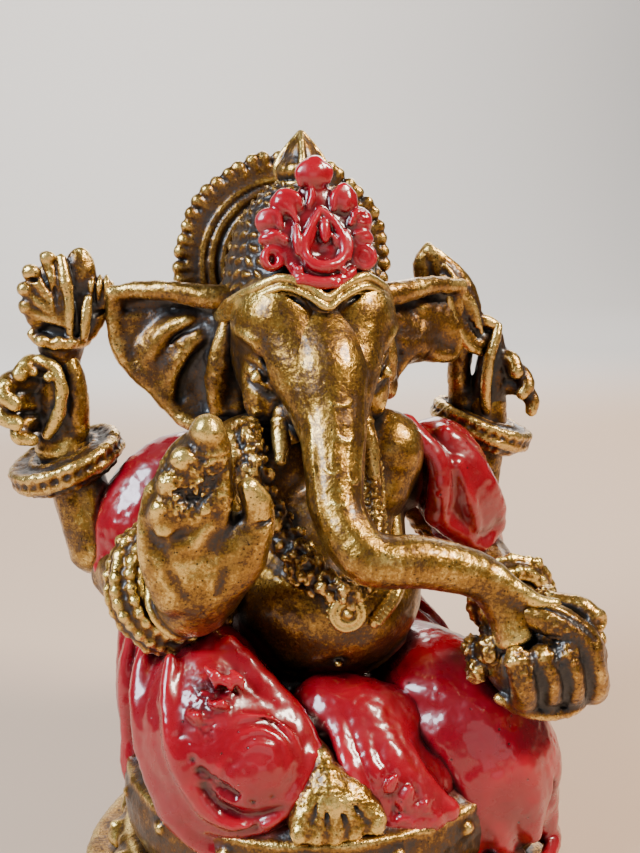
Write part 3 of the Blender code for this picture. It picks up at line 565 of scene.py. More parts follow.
def sculpt_crown():
    middle = H(0, CROWN_BACK, CROWN_RISE)
    clay = Clay(middle - (18, 18, 3), middle + (18, 18, 27), 0.4)
    clay.add(Ball(middle, (16.1, 16.1, 24.6)), 0)
    clay.keep(middle[2] - 2.0)
    for row in range(13):
        rise = math.radians(9 + row * 6.3)
        ring = 16.2 * math.cos(rise)
        count = max(8, int(2 * math.pi * ring / 3.1))
        for i in range(count):
            angle = 2 * math.pi * (i + 0.5 * (row % 2)) / count
            at = middle + (ring * math.cos(angle), ring * math.sin(angle), 24.7 * math.sin(rise))
            tilt = (0, 40 * math.sin(1.7 * i + row), math.degrees(angle) + 90)
            clay.add(Ball(at, (1.5, 0.62, 0.62), tilt), 0.5)
    cast("crown_cap", clay, "dark_gold_paint", 0.12, grit=0.16)

    base = middle + (0, 0, 23.0)
    clay = Clay(base - (7, 7, 2.5), base + (7, 7, 12.5), 0.33)
    clay.add(Ball(base + (0, 0, 0), (4.3, 4.3, 1.8)), 0)
    clay.add(Ball(base + (0, 0, 3.3), (5.0, 5.0, 2.7)), 0.4)
    clay.add(Rope([(*(base + (0, 0, 3.2)), 4.3), (*(base + (0, 0, 6.6)), 2.9),
            (*(base + (0, 0, 10.4)), 0.7)]), 0.8)
    for i in range(8):
        angle = math.radians(-100 + 45 * i)
        out = np.array((math.cos(angle), math.sin(angle), 0))
        big = i % 2 == 0
        edge = [(*(base + out * 4.6 + (0, 0, 1.7)), 0.5), (*(base + out * 4.9 + (0, 0, 4.0)), 0.75),
                (*(base + out * 3.2 + (0, 0, 7.2)), 0.6), (*(base + out * 0.5 + (0, 0, 10.6)), 0.35)]
        if big:
            clay.add(Rope(edge), 0.4)
        else:
            clay.carve(Rope([(*(p[:3] + np.array(out) * 0.35), p[3] * 0.7) for p in map(np.array, edge)]),
                    0.5)
    clay.add(Torus(base + (0, 0, 0.7), (0, 0, 1), 4.5, 0.55), 0.1)
    cast("crown_finial", clay, "dark_gold_paint", 0.06)


def sculpt_band():
    edge = [(1.02, -1.5, -1.5), (0.95, 7.5, 0.5), (0.78, 14, 3), (0.48, 18, 5.4), (0.18, 19.5, 3.6)]
    left = [H(-x * BAND_REACH, CROWN_BACK - y, CROWN_RISE + z) for x, y, z in edge]
    right = [H(x * BAND_REACH, CROWN_BACK - y, CROWN_RISE + z) for x, y, z in edge]
    line = [*left, H(0, -16, CROWN_RISE + 1.8), *reversed(right)]
    low, high = np.min(line, 0) - 4, np.max(line, 0) + 4
    clay = Clay(low, high, 0.33)
    for shift, radius, soft in (((0, 0.5, 0), 1.3, 0), ((0, 3.0, -1.2), 2.2, 0.6),
            ((0, 1.7, -1.9), 1.35, 0.6), ((0, -0.3, 1.1), 0.85, 0.3), ((0, -1.1, -0.7), 0.62, 0.3)):
        clay.add(Rope([(*(p + shift), radius) for p in line]), soft)
    cast("crown_band", clay, "gold_paint", 0.16)


CREST_TILT = (-17, 0, 0)
CREST_LEAN = math.radians(17)
CREST_RIGHT = np.array((1.0, 0.0, 0.0))
CREST_UP = np.array((0.0, math.sin(CREST_LEAN), math.cos(CREST_LEAN)))
CREST_OUT = np.array((0.0, -math.cos(CREST_LEAN), math.sin(CREST_LEAN)))


def on_crest(x, up, out=0.0):
    return H(0, -15.2, 12.2) + CREST_RIGHT * x + CREST_UP * up + CREST_OUT * (out - 0.02 * x * x)


def crest_rope(rows):
    return Rope([(*on_crest(x, up, out), r) for x, up, out, r in rows], 0.5)


def sculpt_crest():
    """A red plaque of fused lobes round a hollow drop, with a bud on top and a ring at each lower corner."""
    clay = Clay(H(-16, -22, 7), H(15, 0, 39.5), 0.3)

    def lobe(x, up, out, radii, soft=0.7):
        clay.add(Ball(on_crest(x, up, out), radii, CREST_TILT), soft)

    for x, up, radii in ((-0.4, 4.4, (5.6, 2.2, 3.4)), (-0.4, 9.5, (8.0, 2.0, 6.6)),
            (-0.4, 15.5, (6.0, 1.9, 5.4)), (-6.6, 12.4, (4.2, 1.8, 5.2)), (5.8, 12.4, (4.2, 1.8, 5.4)),
            (-0.6, 19.6, (2.5, 1.9, 3.4))):
        lobe(x, up, -1.0, radii, 1.2)
    # bud, shoulders and side lobes
    lobe(-0.9, 22.8, 0.4, (3.4, 2.6, 3.0))
    lobe(-0.4, 25.0, 0.3, (1.9, 1.8, 1.3), 0.5)
    for x, up, out, radii in ((-6.1, 17.4, 0.3, (3.1, 2.3, 2.7)), (4.6, 18.0, 0.3, (2.9, 2.3, 2.9)),
                              (-9.6, 14.4, 0.2, (2.5, 2.2, 2.2)), (7.5, 14.4, 0.3, (2.8, 2.2, 2.6)),
                              (-9.2, 11.0, 0.1, (2.5, 2.0, 1.5)), (8.2, 10.9, 0.1, (2.1, 2.0, 1.6))):
        lobe(x, up, out, radii)
    ridges = [[(-3.5, 20.6, 1.0, 0.5), (-3.4, 22.8, 1.5, 0.8), (-1.9, 24.4, 1.7, 0.7)],
            [(0.4, 24.6, 1.8, 0.6), (1.9, 23.2, 1.6, 0.8), (1.7, 21.2, 1.2, 0.5)], [(-1.7, 20.4, 1.4, 0.4),
            (-1.5, 18.6, 1.2, 0.6), (-2.2, 16.8, 1.0, 0.4)], [(-8.6, 17.4, 1.1, 0.5),
            (-7.0, 19.2, 1.5, 0.8), (-4.6, 18.4, 1.5, 0.8), (-3.9, 16.4, 1.2, 0.5)],
            [(-7.6, 16.1, 1.4, 0.5), (-5.9, 15.9, 1.7, 0.75), (-4.8, 14.0, 1.5, 0.5)],
            [(-11.2, 13.0, 0.9, 0.5), (-10.6, 15.6, 1.3, 0.8), (-8.2, 15.3, 1.5, 0.8),
            (-7.7, 13.0, 1.3, 0.6)], [(2.4, 16.0, 1.2, 0.5), (2.8, 18.6, 1.5, 0.8), (4.8, 20.2, 1.5, 0.8),
            (6.6, 18.8, 1.2, 0.6)], [(4.6, 16.0, 1.6, 0.5), (5.2, 17.6, 1.9, 0.7), (6.6, 16.8, 1.7, 0.5)],
            [(5.4, 13.2, 1.7, 0.5), (6.9, 15.4, 2.1, 0.7), (8.8, 14.8, 1.6, 0.6), (8.6, 13.0, 1.6, 0.5)],
            [(6.6, 11.4, 1.5, 0.5), (8.4, 12.0, 1.6, 0.6), (9.6, 10.8, 1.0, 0.5)], [(-10.9, 11.0, 1.1, 0.5),
            (-9.0, 11.7, 1.6, 0.7), (-6.9, 10.4, 1.4, 0.6)], [(-4.9, 12.8, 1.5, 0.5),
            (-5.0, 10.2, 1.9, 0.85), (-4.9, 7.8, 1.7, 0.6)], [(4.6, 11.8, 1.5, 0.5), (5.0, 9.4, 1.8, 0.7),
            (4.7, 6.8, 1.6, 0.6)]]
    for ridge in ridges:
        clay.add(crest_rope(ridge), 0.45)
    # rings at the lower corners
    lobe(-9.2, 7.4, -0.3, (2.4, 1.7, 2.4), 0.6)
    lobe(7.9, 7.3, -0.3, (2.7, 1.7, 2.7), 0.6)
    clay.add(Torus(on_crest(-9.2, 7.5, 0.7), CREST_OUT, 1.5, 0.9), 0.35)
    clay.carve(Ball(on_crest(-9.4, 7.0, 1.6), (0.7, 1.3, 1.1), CREST_TILT), 0.4)
    clay.add(Torus(on_crest(7.9, 7.3, 0.7), CREST_OUT, 1.95, 0.75), 0.3)
    clay.add(Torus(on_crest(7.9, 7.3, 1.1), CREST_OUT, 0.85, 0.4), 0.25)
    # the drop: a raised rim, a hollow at its foot and a bead hanging from the top
    clay.add(crest_rope([(-0.2, 15.8, 1.3, 0.6), (-1.9, 13.0, 1.5, 0.8), (-3.4, 10.0, 1.4, 0.95),
            (-3.6, 7.6, 1.4, 1.0), (-2.2, 5.6, 1.5, 1.15), (0.0, 5.0, 1.7, 1.3), (2.4, 5.7, 1.5, 1.15),
            (3.9, 8.0, 1.4, 1.0), (3.4, 11.6, 1.4, 0.9), (1.6, 14.4, 1.4, 0.7),
            (-0.2, 15.8, 1.3, 0.6)]), 0.5)
    clay.carve(Ball(on_crest(-0.1, 9.8, 2.4), (2.0, 1.6, 3.6), CREST_TILT), 1.0)
    clay.carve(Ball(on_crest(-0.3, 7.9, 2.6), (2.3, 2.2, 1.5), CREST_TILT), 0.6)
    lobe(0.4, 12.0, 1.2, (1.1, 1.0, 2.5), 0.4)
    clay.add(crest_rope([(-1.3, 12.2, 1.2, 0.35), (-2.2, 10.4, 1.3, 0.5), (-2.6, 9.0, 1.2, 0.35)]), 0.25)
    clay.add(crest_rope([(1.3, 11.6, 1.2, 0.35), (2.2, 10.4, 1.3, 0.5), (2.6, 9.2, 1.2, 0.35)]), 0.25)
    # the lip under the drop, with knobs, and a smear that runs on over the band
    clay.add(crest_rope([(-5.6, 5.0, 0.7, 0.9), (-4.7, 3.2, 0.9, 1.1), (-0.6, 2.0, 1.2, 1.2),
            (3.2, 3.0, 1.0, 1.1), (5.6, 4.6, 0.7, 0.9)]), 0.6)
    for x, up in ((-4.9, 4.6), (0.5, 2.3), (1.7, 1.7), (3.3, 4.3), (-5.0, 2.6)):
        lobe(x, up, 1.7, (0.8, 0.7, 0.8), 0.35)
    clay.add(crest_rope([(4.6, 3.2, 0.7, 0.9), (7.6, 3.0, 0.3, 0.8), (10.2, 3.2, -0.2, 0.6)]), 0.6)
    for x, up, out, r in ((-2.9, 19.6, 1.6, 0.6), (2.6, 20.2, 1.5, 0.6), (-8.0, 16.6, 1.4, 0.4),
            (-7.5, 9.0, 1.6, 0.5), (6.4, 9.4, 1.7, 0.5), (-6.6, 5.0, 1.2, 0.7), (6.6, 5.0, 1.2, 0.6),
            (-1.0, 7.4, 1.4, 0.45)):
        clay.carve(Ball(on_crest(x, up, out), r), 0.4)
    cast("crown_crest", clay, "red_enamel", 0.14, rough_spots=[(on_crest(7.0, 14.2, 2.0), 2.6, 0.30),
            (on_crest(2.0, 3.0, 1.5), 2.6, 0.24)])


# ---------------------------------------------------------------- head

HEAD_MASSES = [((0, 2, 1), (16.0, 15, 15)), ((-7.26, -6, 7), (9.0, 9, 9)), ((7.26, -6, 7), (9.0, 9, 9)),
        ((-8.0, -5, -5), (6.0, 7.0, 9)), ((8.0, -5, -5), (6.0, 7.0, 9)), ((0, -4, -12), (8.5, 10, 7)),
        ((-9.6, -8.8, -4.0), (4.8, 4.4, 8.5)), ((9.6, -8.8, -4.0), (4.8, 4.4, 8.5))]


def sculpt_head():
    clay = Clay(H(-20, -27, -22), H(20, 19, 19), 0.34)
    for middle, radii in HEAD_MASSES:
        clay.add(Ball(H(*middle), radii), 2.6)
    # two bosses that run down together into the root of the trunk
    for side in (-1, 1):
        clay.add(Ball(H(side * 7.0, -7.4, 7.6), (8.1, 8.6, 8.4)), 1.5)
        clay.add(limb(H, (side * 6.4, -8.6, 6.5, 7.8), (side * 5.2, -12.0, 1.0, 6.9),
                (side * 2.6, -17.0, -6.0, 6.0), (side * 0.6 - 0.4, -20.6, -12.0, 5.5)), 1.6)
    for side in (-1, 1):

        def lay(rows, lift=0.0):
            return Rope(on_front(H, HEAD_MASSES, [(side * x, z, r) for x, z, r in rows], lift), 0.5)

        # cheek, temple and brow
        clay.add(Ball(H(side * 9.8, -8.4, -8.6), (4.2, 3.4, 4.8)), 1.6)
        clay.add(lay([(15.4, 5.4, 0.7), (13.6, 4.6, 1.1), (11.6, 3.0, 1.3), (9.6, 0.6, 1.2),
                (8.0, -2.2, 0.9)], 0.0), 1.4)
        clay.carve(Ball(H(side * 12.0, front_of(HEAD_MASSES, 12.0, -1.6) - 0.5, -1.6), (3.2, 0.9, 2.0),
                (0, side * 36, 0)), 1.6)
        # the eye: a narrow almond under a heavy lid, slanting down towards the trunk
        clay.add(Ball(H(side * 11.9, front_of(HEAD_MASSES, 11.9, -2.2) + 0.2, -2.2), (2.6, 1.2, 1.3),
                (0, side * 36, -side * 30)), 0.4)
        clay.add(lay([(14.6, 0.4, 0.35), (13.5, 0.8, 0.6), (12.1, 0.0, 0.75), (10.7, -1.8, 0.65),
                (9.9, -3.6, 0.4)], 0.1), 0.5)
        clay.carve(lay([(13.9, -0.3, 0.2), (12.7, -1.0, 0.32), (11.3, -2.4, 0.32),
                (10.2, -3.6, 0.2)], 0.75), 0.2)
        clay.add(lay([(14.1, -1.3, 0.3), (12.9, -2.9, 0.5), (11.5, -4.2, 0.5), (10.1, -4.8, 0.35)], 0.1), 0.5)
        clay.carve(lay([(14.2, -3.6, 0.4), (12.6, -5.2, 0.6), (10.6, -6.4, 0.5)], 0.3), 1.2)
        # folds round the mouth and the lip beside the trunk
        clay.add(lay([(12.4, -9.6, 0.6), (10.6, -12.4, 1.1), (7.8, -13.4, 1.3), (5.4, -12.0, 0.9)], 0.2), 1.2)
        clay.carve(lay([(12.6, -12.6, 0.5), (10.2, -14.6, 0.7), (7.2, -15.6, 0.6)], 0.4), 0.6)
        clay.add(Ball(H(side * 6.6, -13.4, -13.6), (2.6, 3.0, 2.4)), 0.9)
        clay.add(Ball(H(side * 6.0, -14.4, -9.4), (2.0, 2.4, 2.4)), 1.2)
    clay.carve(limb(H, (0, -17.0, 15, 0.8), (0, -16.6, 10, 1.3), (0, -16.6, 5.4, 0.9)), 1.4)
    # a groove that the crown band sits over
    edge = [(1.0, 0.5, -3.0), (0.93, 7.5, -1.6), (0.78, 13.6, 0.9), (0.48, 18, 2.9), (0.18, 20.2, 1.2)]
    left = [(*H(-x * BAND_REACH, CROWN_BACK - y, CROWN_RISE + z), 0.45) for x, y, z in edge]
    right = [(*H(x * BAND_REACH, CROWN_BACK - y, CROWN_RISE + z), 0.45) for x, y, z in edge]
    clay.carve(Rope([*left, (*H(0, -16.6, 8.2), 0.45), *reversed(right)]), 0.6)
    # folds at the back of the neck
    for k in range(3):
        clay.add(limb(H, (-11, 9.5 - k, -9.5 - 3 * k, 0.6), (0, 13.6 - k, -9.5 - 3 * k, 1.0),
                (11, 9.5 - k, -9.5 - 3 * k, 0.6)), 0.8)
    spots = [(H(-12.5, -8, -10), 4.5, 0.30), (H(-14.5, -3, -2), 4.0, 0.22), (H(-9.5, -13, -6.4), 2.4, 0.22)]
    cast("head_casting", clay, "gold_paint", 0.12, rough_spots=spots)


TRUNK_LINE = [(0, -8, 4, 9.0), (0, -15.0, -2, 8.3), (0, -19.6, -9, 6.6), (-1, -25, -17.5, 5.5),
        (-1.5, -30, -25, 4.8), (2.5, -35.6, -31.8, 4.8), (12.8, -36.7, -33.2, 4.6),
        (23.4, -36.8, -37.0, 4.1), (27.4, -38.2, -42.4, 3.7), (28.2, -39.6, -46.4, 3.4)]


def sculpt_trunk():
    line = spline(path(H, *TRUNK_LINE), 0.42)
    rows = []
    length = 0.0
    for i, row in enumerate(line):
        if i:
            length += np.linalg.norm(row[:3] - line[i - 1][:3])
        ripple = 0.10 * np.clip((length - 26) / 8, 0,
                1) * math.sin(2 * math.pi * length / 1.5 + 0.9 * math.sin(length * 0.9))
        rows.append((*row[:3], row[3] + ripple))
    clay = Clay(H(-11, -47, -52), H(38, 3, 15), 0.33)
    clay.add(Rope(rows, 0.42), 0)

    def beside(share, turn, start, stop, radius, sway=0.0):
        """A rope along the trunk; turn 0 is its front, -90 its left and 90 its right."""
        made = []
        for i in range(start, stop, 3):
            tangent = heading(line, i)
            ahead = np.array((0.0, -1.0, 0.25)) if i < len(line) * 0.55 else np.array((0.0, -1.0, 0.1))
            ahead = unit(ahead - tangent * (ahead @ tangent))
            right = np.cross(ahead, tangent) * -1
            angle = math.radians(turn + sway * math.sin(i * 0.21))
            out = math.cos(angle) * ahead + math.sin(angle) * right
            made.append((*(line[i][:3] + out * line[i][3] * share), radius))
        return made

    count = len(line)
    for turn, share, radius in ((-50, 0.60, 0.42), (-64, 0.60, 0.40), (-80, 0.56, 0.34), (-16, 0.40, 0.30),
            (14, 0.40, 0.30), (58, 0.5, 0.36)):
        clay.add(Rope(beside(0.97, turn, 16, int(count * share), radius, 4.0), 0.8), 0.3)
    # small cups and a knot on the front of the trunk
    for share, offset, wide in ((0.22, 0.0, 0.34), (0.30, -0.1, 0.30), (0.375, 0.34, 0.26),
            (0.39, -0.42, 0.26), (0.45, 0.0, 0.3)):
        i = int(count * share)
        tangent = heading(line, i)
        ahead = unit(np.array((0.0, -1.0, 0.0)) - tangent * (-tangent[1]))
        right = np.cross(tangent, ahead)
        radius = line[i][3]
        arc = []
        for s in (-1, -0.6, 0, 0.6, 1):
            swing = offset + s * wide
            out = ahead * math.cos(swing) + right * math.sin(swing)
            arc.append((*(line[i][:3] + out * radius * 0.98 + tangent * 1.3 * (1 - s * s)), 0.34))
        clay.add(Rope(arc, 0.5), 0.2)
    # open tip with its finger, held over the sweets
    tip = H(28.2, -39.6, -46.4)
    clay.add(Torus(tip + (0.4, -0.4, -1.4), (0.3, -0.3, -0.9), 2.6, 0.9), 0.8)
    clay.carve(Ball(tip + (0.7, -0.9, -3.2), (1.8, 1.7, 3.0)), 0.6)
    clay.add(limb(H, (25.4, -38.6, -36.6, 2.4), (29.4, -40.2, -39.2, 1.9), (32.8, -41.0, -40.9, 1.4),
            (36.0, -41.2, -41.4, 0.9)), 1.2)
    clay.carve(limb(H, (28.8, -43.4, -42.4, 0.6), (32.0, -43.6, -43.4, 0.8), (36.0, -43.2, -43.4, 0.7)), 0.9)
    cast("trunk", clay, "gold_paint", 0.10)


def sculpt_tusks():
    for side, name, length in ((-1, "right_tusk", 8.0), (1, "left_tusk", 12.0)):
        start = H(side * 7.5, -12, -10)
        low, high = corners(name)
        clay = Clay(low - 1.5, high + 1.5, 0.28)
        clay.add(Rope([(*start, 2.2), (*(start + (side * 1.0, -3.0, -length * 0.55)), 2.0),
                (*(start + (side * 1.6, -5.0, -length)), 1.2)]), 0)
        lean = (side * 1.0, -3.0, -length * 0.55)
        clay.add(Torus(start + np.array(lean) * 0.4, lean, 1.9, 0.5), 0.3)
        cast(name, clay, "dark_gold_paint", 0.12, grit=0.05)


RIGHT_EAR = [(37.4, 10.4, 11.4), (37.3, 10.6, 6.5), (36.9, 10.6, 2.0), (35.8, 10.4, -1.2),
        (33.6, 10.0, -4.4), (30.6, 9.0, -7.4), (27.8, 8.0, -10.4), (24.8, 6.4, -13.8), (22.2, 5.0, -15.2),
        (19.6, 3.6, -15.6)]
LEFT_EAR = [(36.4, 11.0, 11.6), (37.0, 11.6, 7.5), (37.2, 12.0, 3.5), (36.9, 12.0, -0.4),
        (35.6, 11.6, -3.4), (32.0, 10.2, -3.2), (28.4, 9.0, -1.6), (24.8, 7.4, -1.6), (21.6, 5.8, -4.2),
        (18.6, 3.6, -9.8)]


def sculpt_ear(side, name, outline):
    """A fan with a rolled top edge, raised folds and a thick inner edge, hollow in front."""
    clay = Clay(H(-40 if side < 0 else 8, -6, -20), H(-8 if side < 0 else 40, 17, 16), 0.36)
    inner_top, inner_low = np.array((13.5, 2.0, 10.0)), np.array((14.0, 2.0, -11.5))

    def at(point, radius):
        return (*H(side * point[0], point[1], point[2]), radius)

    for i in range(len(outline) * 2 - 1):
        a, b = outline[i // 2], outline[min((i + 1) // 2, len(outline) - 1)]
        rim = (np.array(a) + np.array(b)) / 2
        t = i / (len(outline) * 2 - 2)
        root = inner_top + (inner_low - inner_top) * min(1.0, t * 1.15)
        middle = (rim + root) / 2 + np.array((0, 3.0, 0))
        clay.add(Rope([at(root, 1.7), at(middle, 1.3), at(rim, 1.2)], 1.2), 1.3)
    # rolled top edge, rim and folds
    clay.add(Rope([at((13.0, 0.6, 10.6), 2.6), at((19.5, 2.0, 11.0), 2.5), at((27.0, 5.4, 12.0), 2.1),
            at((33.0, 8.8, 12.0), 1.8), at((37.0, 10.4, 11.4), 1.5)]), 0.9)
    clay.carve(Rope([at((15.6, 0.6, 7.6), 1.1), at((22.0, 3.8, 7.9), 1.3), at((29.0, 7.6, 8.6), 1.3),
            at((34.6, 9.4, 8.6), 0.9)]), 0.9)
    clay.add(Rope([at(p, 1.35) for p in outline]), 1.3)
    if side < 0:
        folds = [((23.4, 3.8, 5.6), (27.0, 5.6, 3.6), (29.8, 7.0, -0.4), (30.6, 7.8, -5.0)),
                ((21.0, 3.0, 2.2), (23.8, 4.4, -0.4), (26.0, 5.8, -4.6), (26.8, 6.4, -9.0))]
        inner_roll = [(15.6, 0.0, 7.4), (17.6, 0.0, 1.4), (18.8, 0.4, -5.4), (18.6, 1.2, -11.4)]
    else:
        folds = [((21.0, 4.0, 5.0), (24.6, 6.4, 3.0), (28.6, 8.4, 2.0), (32.4, 9.8, 0.4)),
                ((19.6, 3.0, 0.6), (22.6, 5.0, 0.0), (26.0, 7.0, 0.4), (28.4, 8.2, 0.6)), ((27.4, 7.4, 7.0),
                (31.2, 9.4, 5.0), (34.4, 10.6, 2.0), (35.4, 11.2, -0.8))]
        inner_roll = [(15.6, 0.0, 7.4), (17.2, 0.2, 1.4), (17.8, 0.8, -4.4), (17.4, 1.6, -8.6)]
    for fold in folds:
        sizes = (1.6, 2.5, 2.6, 1.7)
        clay.add(Rope([at((p[0], p[1] + 1.9, p[2]), r) for p, r in zip(fold, sizes)]), 2.8)
        if side < 0:
            clay.carve(Rope([at((p[0] - 1.9, p[1] + 0.2, p[2] - 0.8), r * 0.34) for p, r in zip(fold,
                    sizes)]), 1.4)
    clay.add(Rope([at((p[0] - 0.6, p[1] + 0.8, p[2]), r) for p, r in zip(inner_roll, (1.6, 2.3, 2.4,
            1.8))]), 2.4)
    clay.carve(Rope([at((18.8, 1.6, 5.6), 0.8), at((20.8, 2.6, -1.0), 1.0), at((21.4, 3.8, -7.0), 0.9)]), 1.2)
    # ribs on the back of the fan
    for a, b in (((16, 6.5, 7), (34, 13.4, 8)), ((16, 6.5, 2), (34, 13.4, 1))):
        clay.add(Rope([at(a, 1.1), at(b, 0.7)]), 1.0)
    dark_side = [(at((19, 1, -4), 0)[:3], 5.0, 0.22)] if side < 0 else []
    cast(name, clay, "dark_gold_paint", 0.24, polish=2, rough_spots=dark_side)


# ---------------------------------------------------------------- torso, shawl and ornaments

TORSO_MASSES = [((1, -12, 30), (20, 21.5, 17.2)), ((0, -6, 41), (20, 17, 13)), ((0, 6, 26), (21, 13, 22)),
        ((0, 0, 48), (22, 13.64, 15))]


CHEST_MASSES = [*TORSO_MASSES, ((-15, -11.6, 57), (7.2, 7.6, 8.6)), ((-12.4, -13.6, 49.5), (5.8, 5.6, 5.0)),
        ((15, -11.6, 57), (7.2, 7.6, 8.6)), ((12.4, -13.6, 49.5), (5.8, 5.6, 5.0))]


def on_torso(rows, lift=0.0):
    return Rope(on_front(F, TORSO_MASSES, rows, lift, -3.0), 0.5)


def sculpt_torso():
    clay = Clay(F(-31, -36, 2), F(31, 21, 72), 0.5)
    for middle, radii in TORSO_MASSES:
        clay.add(Ball(F(*middle), radii), 2.5)
    for side in (-1, 1):
        clay.add(Ball(F(side * 18, -3, 51), (10, 9.5, 9.5)), 2.0)
        clay.add(Ball(F(side * 10.0, -8.0, 54), (10, 9.5, 12)), 3.0)
        clay.add(Ball(F(side * 15.0, -11.6, 57), (7.2, 7.6, 8.6)), 2.4)
        clay.add(Ball(F(side * 12.4, -13.6, 49.5), (5.8, 5.6, 5.0)), 3.0)
    clay.add(limb(F, (0, 2, 51, 11), (0, 0, 68, 11)), 2.0)
    navel = F(-0.4, front_of(TORSO_MASSES, -0.4, 21.5) + 0.5, 21.5)
    clay.carve(Ball(navel + (0, -0.8, 0), (1.9, 1.0, 1.6)), 0.8)
    clay.add(Ball(navel + (0, -0.5, 0), 0.9), 0.2)
    clay.carve(on_torso([(-17, 43, 0.5), (-9, 38.4, 0.8), (0, 37.4, 0.8), (9, 38.4, 0.8),
            (17, 43, 0.5)], 0.6), 1.2)
    clay.add(on_torso([(-15, 21, 0.6), (-8, 17.4, 0.9), (0, 16.2, 0.9), (8, 17.4, 0.9),
            (15, 21, 0.6)], 0.2), 1.2)
    cast("torso", clay, "gold_paint", 0.16, polish=2, rough_spots=[(F(-15, -18, 56), 6.0, 0.35),
            (F(-13, -22, 46), 5.0, 0.3)])


def sculpt_garland():
    low, high = corners("garland")
    clay = Clay(low - 4, high + 4, 0.34)
    lift = 1.4
    thick = spline(on_front(F, CHEST_MASSES, [(-14.4, 64.5, 3.2), (-14.8, 56.5, 3.9), (-11.8, 49, 4.1),
            (-8, 42.5, 3.8), (-2.5, 37.4, 3.1), (1.5, 35.6, 2.2)], lift, -3.0), 1.5)
    clay.add(Rope([(*p[:3], p[3] * 0.72) for p in thick]), 0)
    for row in thick:
        around = rng.normal(size=(12, 3))
        around[:, 1] = -np.abs(around[:, 1])
        around /= np.linalg.norm(around, axis=1)[:, None]
        for out in around:
            size = rng.uniform(0.6, 1.2)
            clay.add(Ball(row[:3] + out * row[3] * rng.uniform(0.6, 0.95),
                    (size, size * 0.9, size * 1.1)), 0.45)
    braid = spline(on_front(F, CHEST_MASSES, [(1.5, 35.6, 1.9), (6, 38, 2.0), (9.2, 43.5, 2.1),
            (9.6, 50, 2.2), (9.8, 58.5, 2.1)], 0.9, -3.0), 1.15)
    clay.add(Rope([(*p[:3], p[3] * 0.7) for p in braid]), 0.2)
    for i in range(1, len(braid) - 1):
        tangent = heading(braid, i)
        side = unit(np.cross(tangent, (0, -1, 0)))
        for s in (-1, 1):
            a = braid[i][:3] + np.array((0, -1.2, 0)) - tangent * 0.4
            b = braid[i][:3] + side * s * braid[i][3] + tangent * 0.9 + np.array((0, 0.2, 0))
            clay.add(Rope([(*a, 0.55), (*b, 0.5)]), 0.12)
    cast("garland", clay, "dark_gold_paint", 0.10, grit=0.45)


def sculpt_thread():
    low, high = corners("sacred_thread")
    clay = Clay(low - 3, high + 3, 0.34)
    line = spline(on_front(F, TORSO_MASSES, [(17.5, 57.5, 1.5), (16, 49.5, 1.6), (14.6, 42.5, 1.6),
            (11.5, 35.5, 1.5), (5.5, 30, 1.2)], 0.6, -3.0), 0.9)
    clay.add(Rope([(*p[:3], p[3] * 0.75) for p in line]), 0)
    for i in range(1, len(line) - 1):
        tangent = heading(line, i)
        side = unit(np.cross(tangent, (0, -1, 0)))
        a = line[i][:3] - side * 1.3 - tangent * 0.5
        m = line[i][:3] + np.array((0, -1.35, 0))
        b = line[i][:3] + side * 1.3 + tangent * 0.5
        clay.add(Rope([(*a, 0.42), (*m, 0.5), (*b, 0.42)], 0.9), 0.1)
    cast("sacred_thread", clay, "gold_paint", 0.05)


def sculpt_pendant():
    low, high = corners("pendant")
    middle = (low + high) / 2
    front = np.array((0, -1.0, 0.1))
    clay = Clay(low - 2.5, high + 2.5, 0.25)
    clay.add(Disc(middle, front, 3.4, 1.4, 0.6), 0)
    clay.add(Torus(middle + front * 1.0, front, 3.1, 0.5), 0.1)
    clay.add(Torus(middle + front * 1.25, front, 1.9, 0.42), 0.1)
    clay.add(Ball(middle + front * 1.3, 0.95), 0.1)
    for point, _ in circle(middle + front * 0.3, front, 3.55, 18):
        clay.add(Ball(point, 0.5), 0.1)
    cast("pendant", clay, "gold_paint", 0.06)


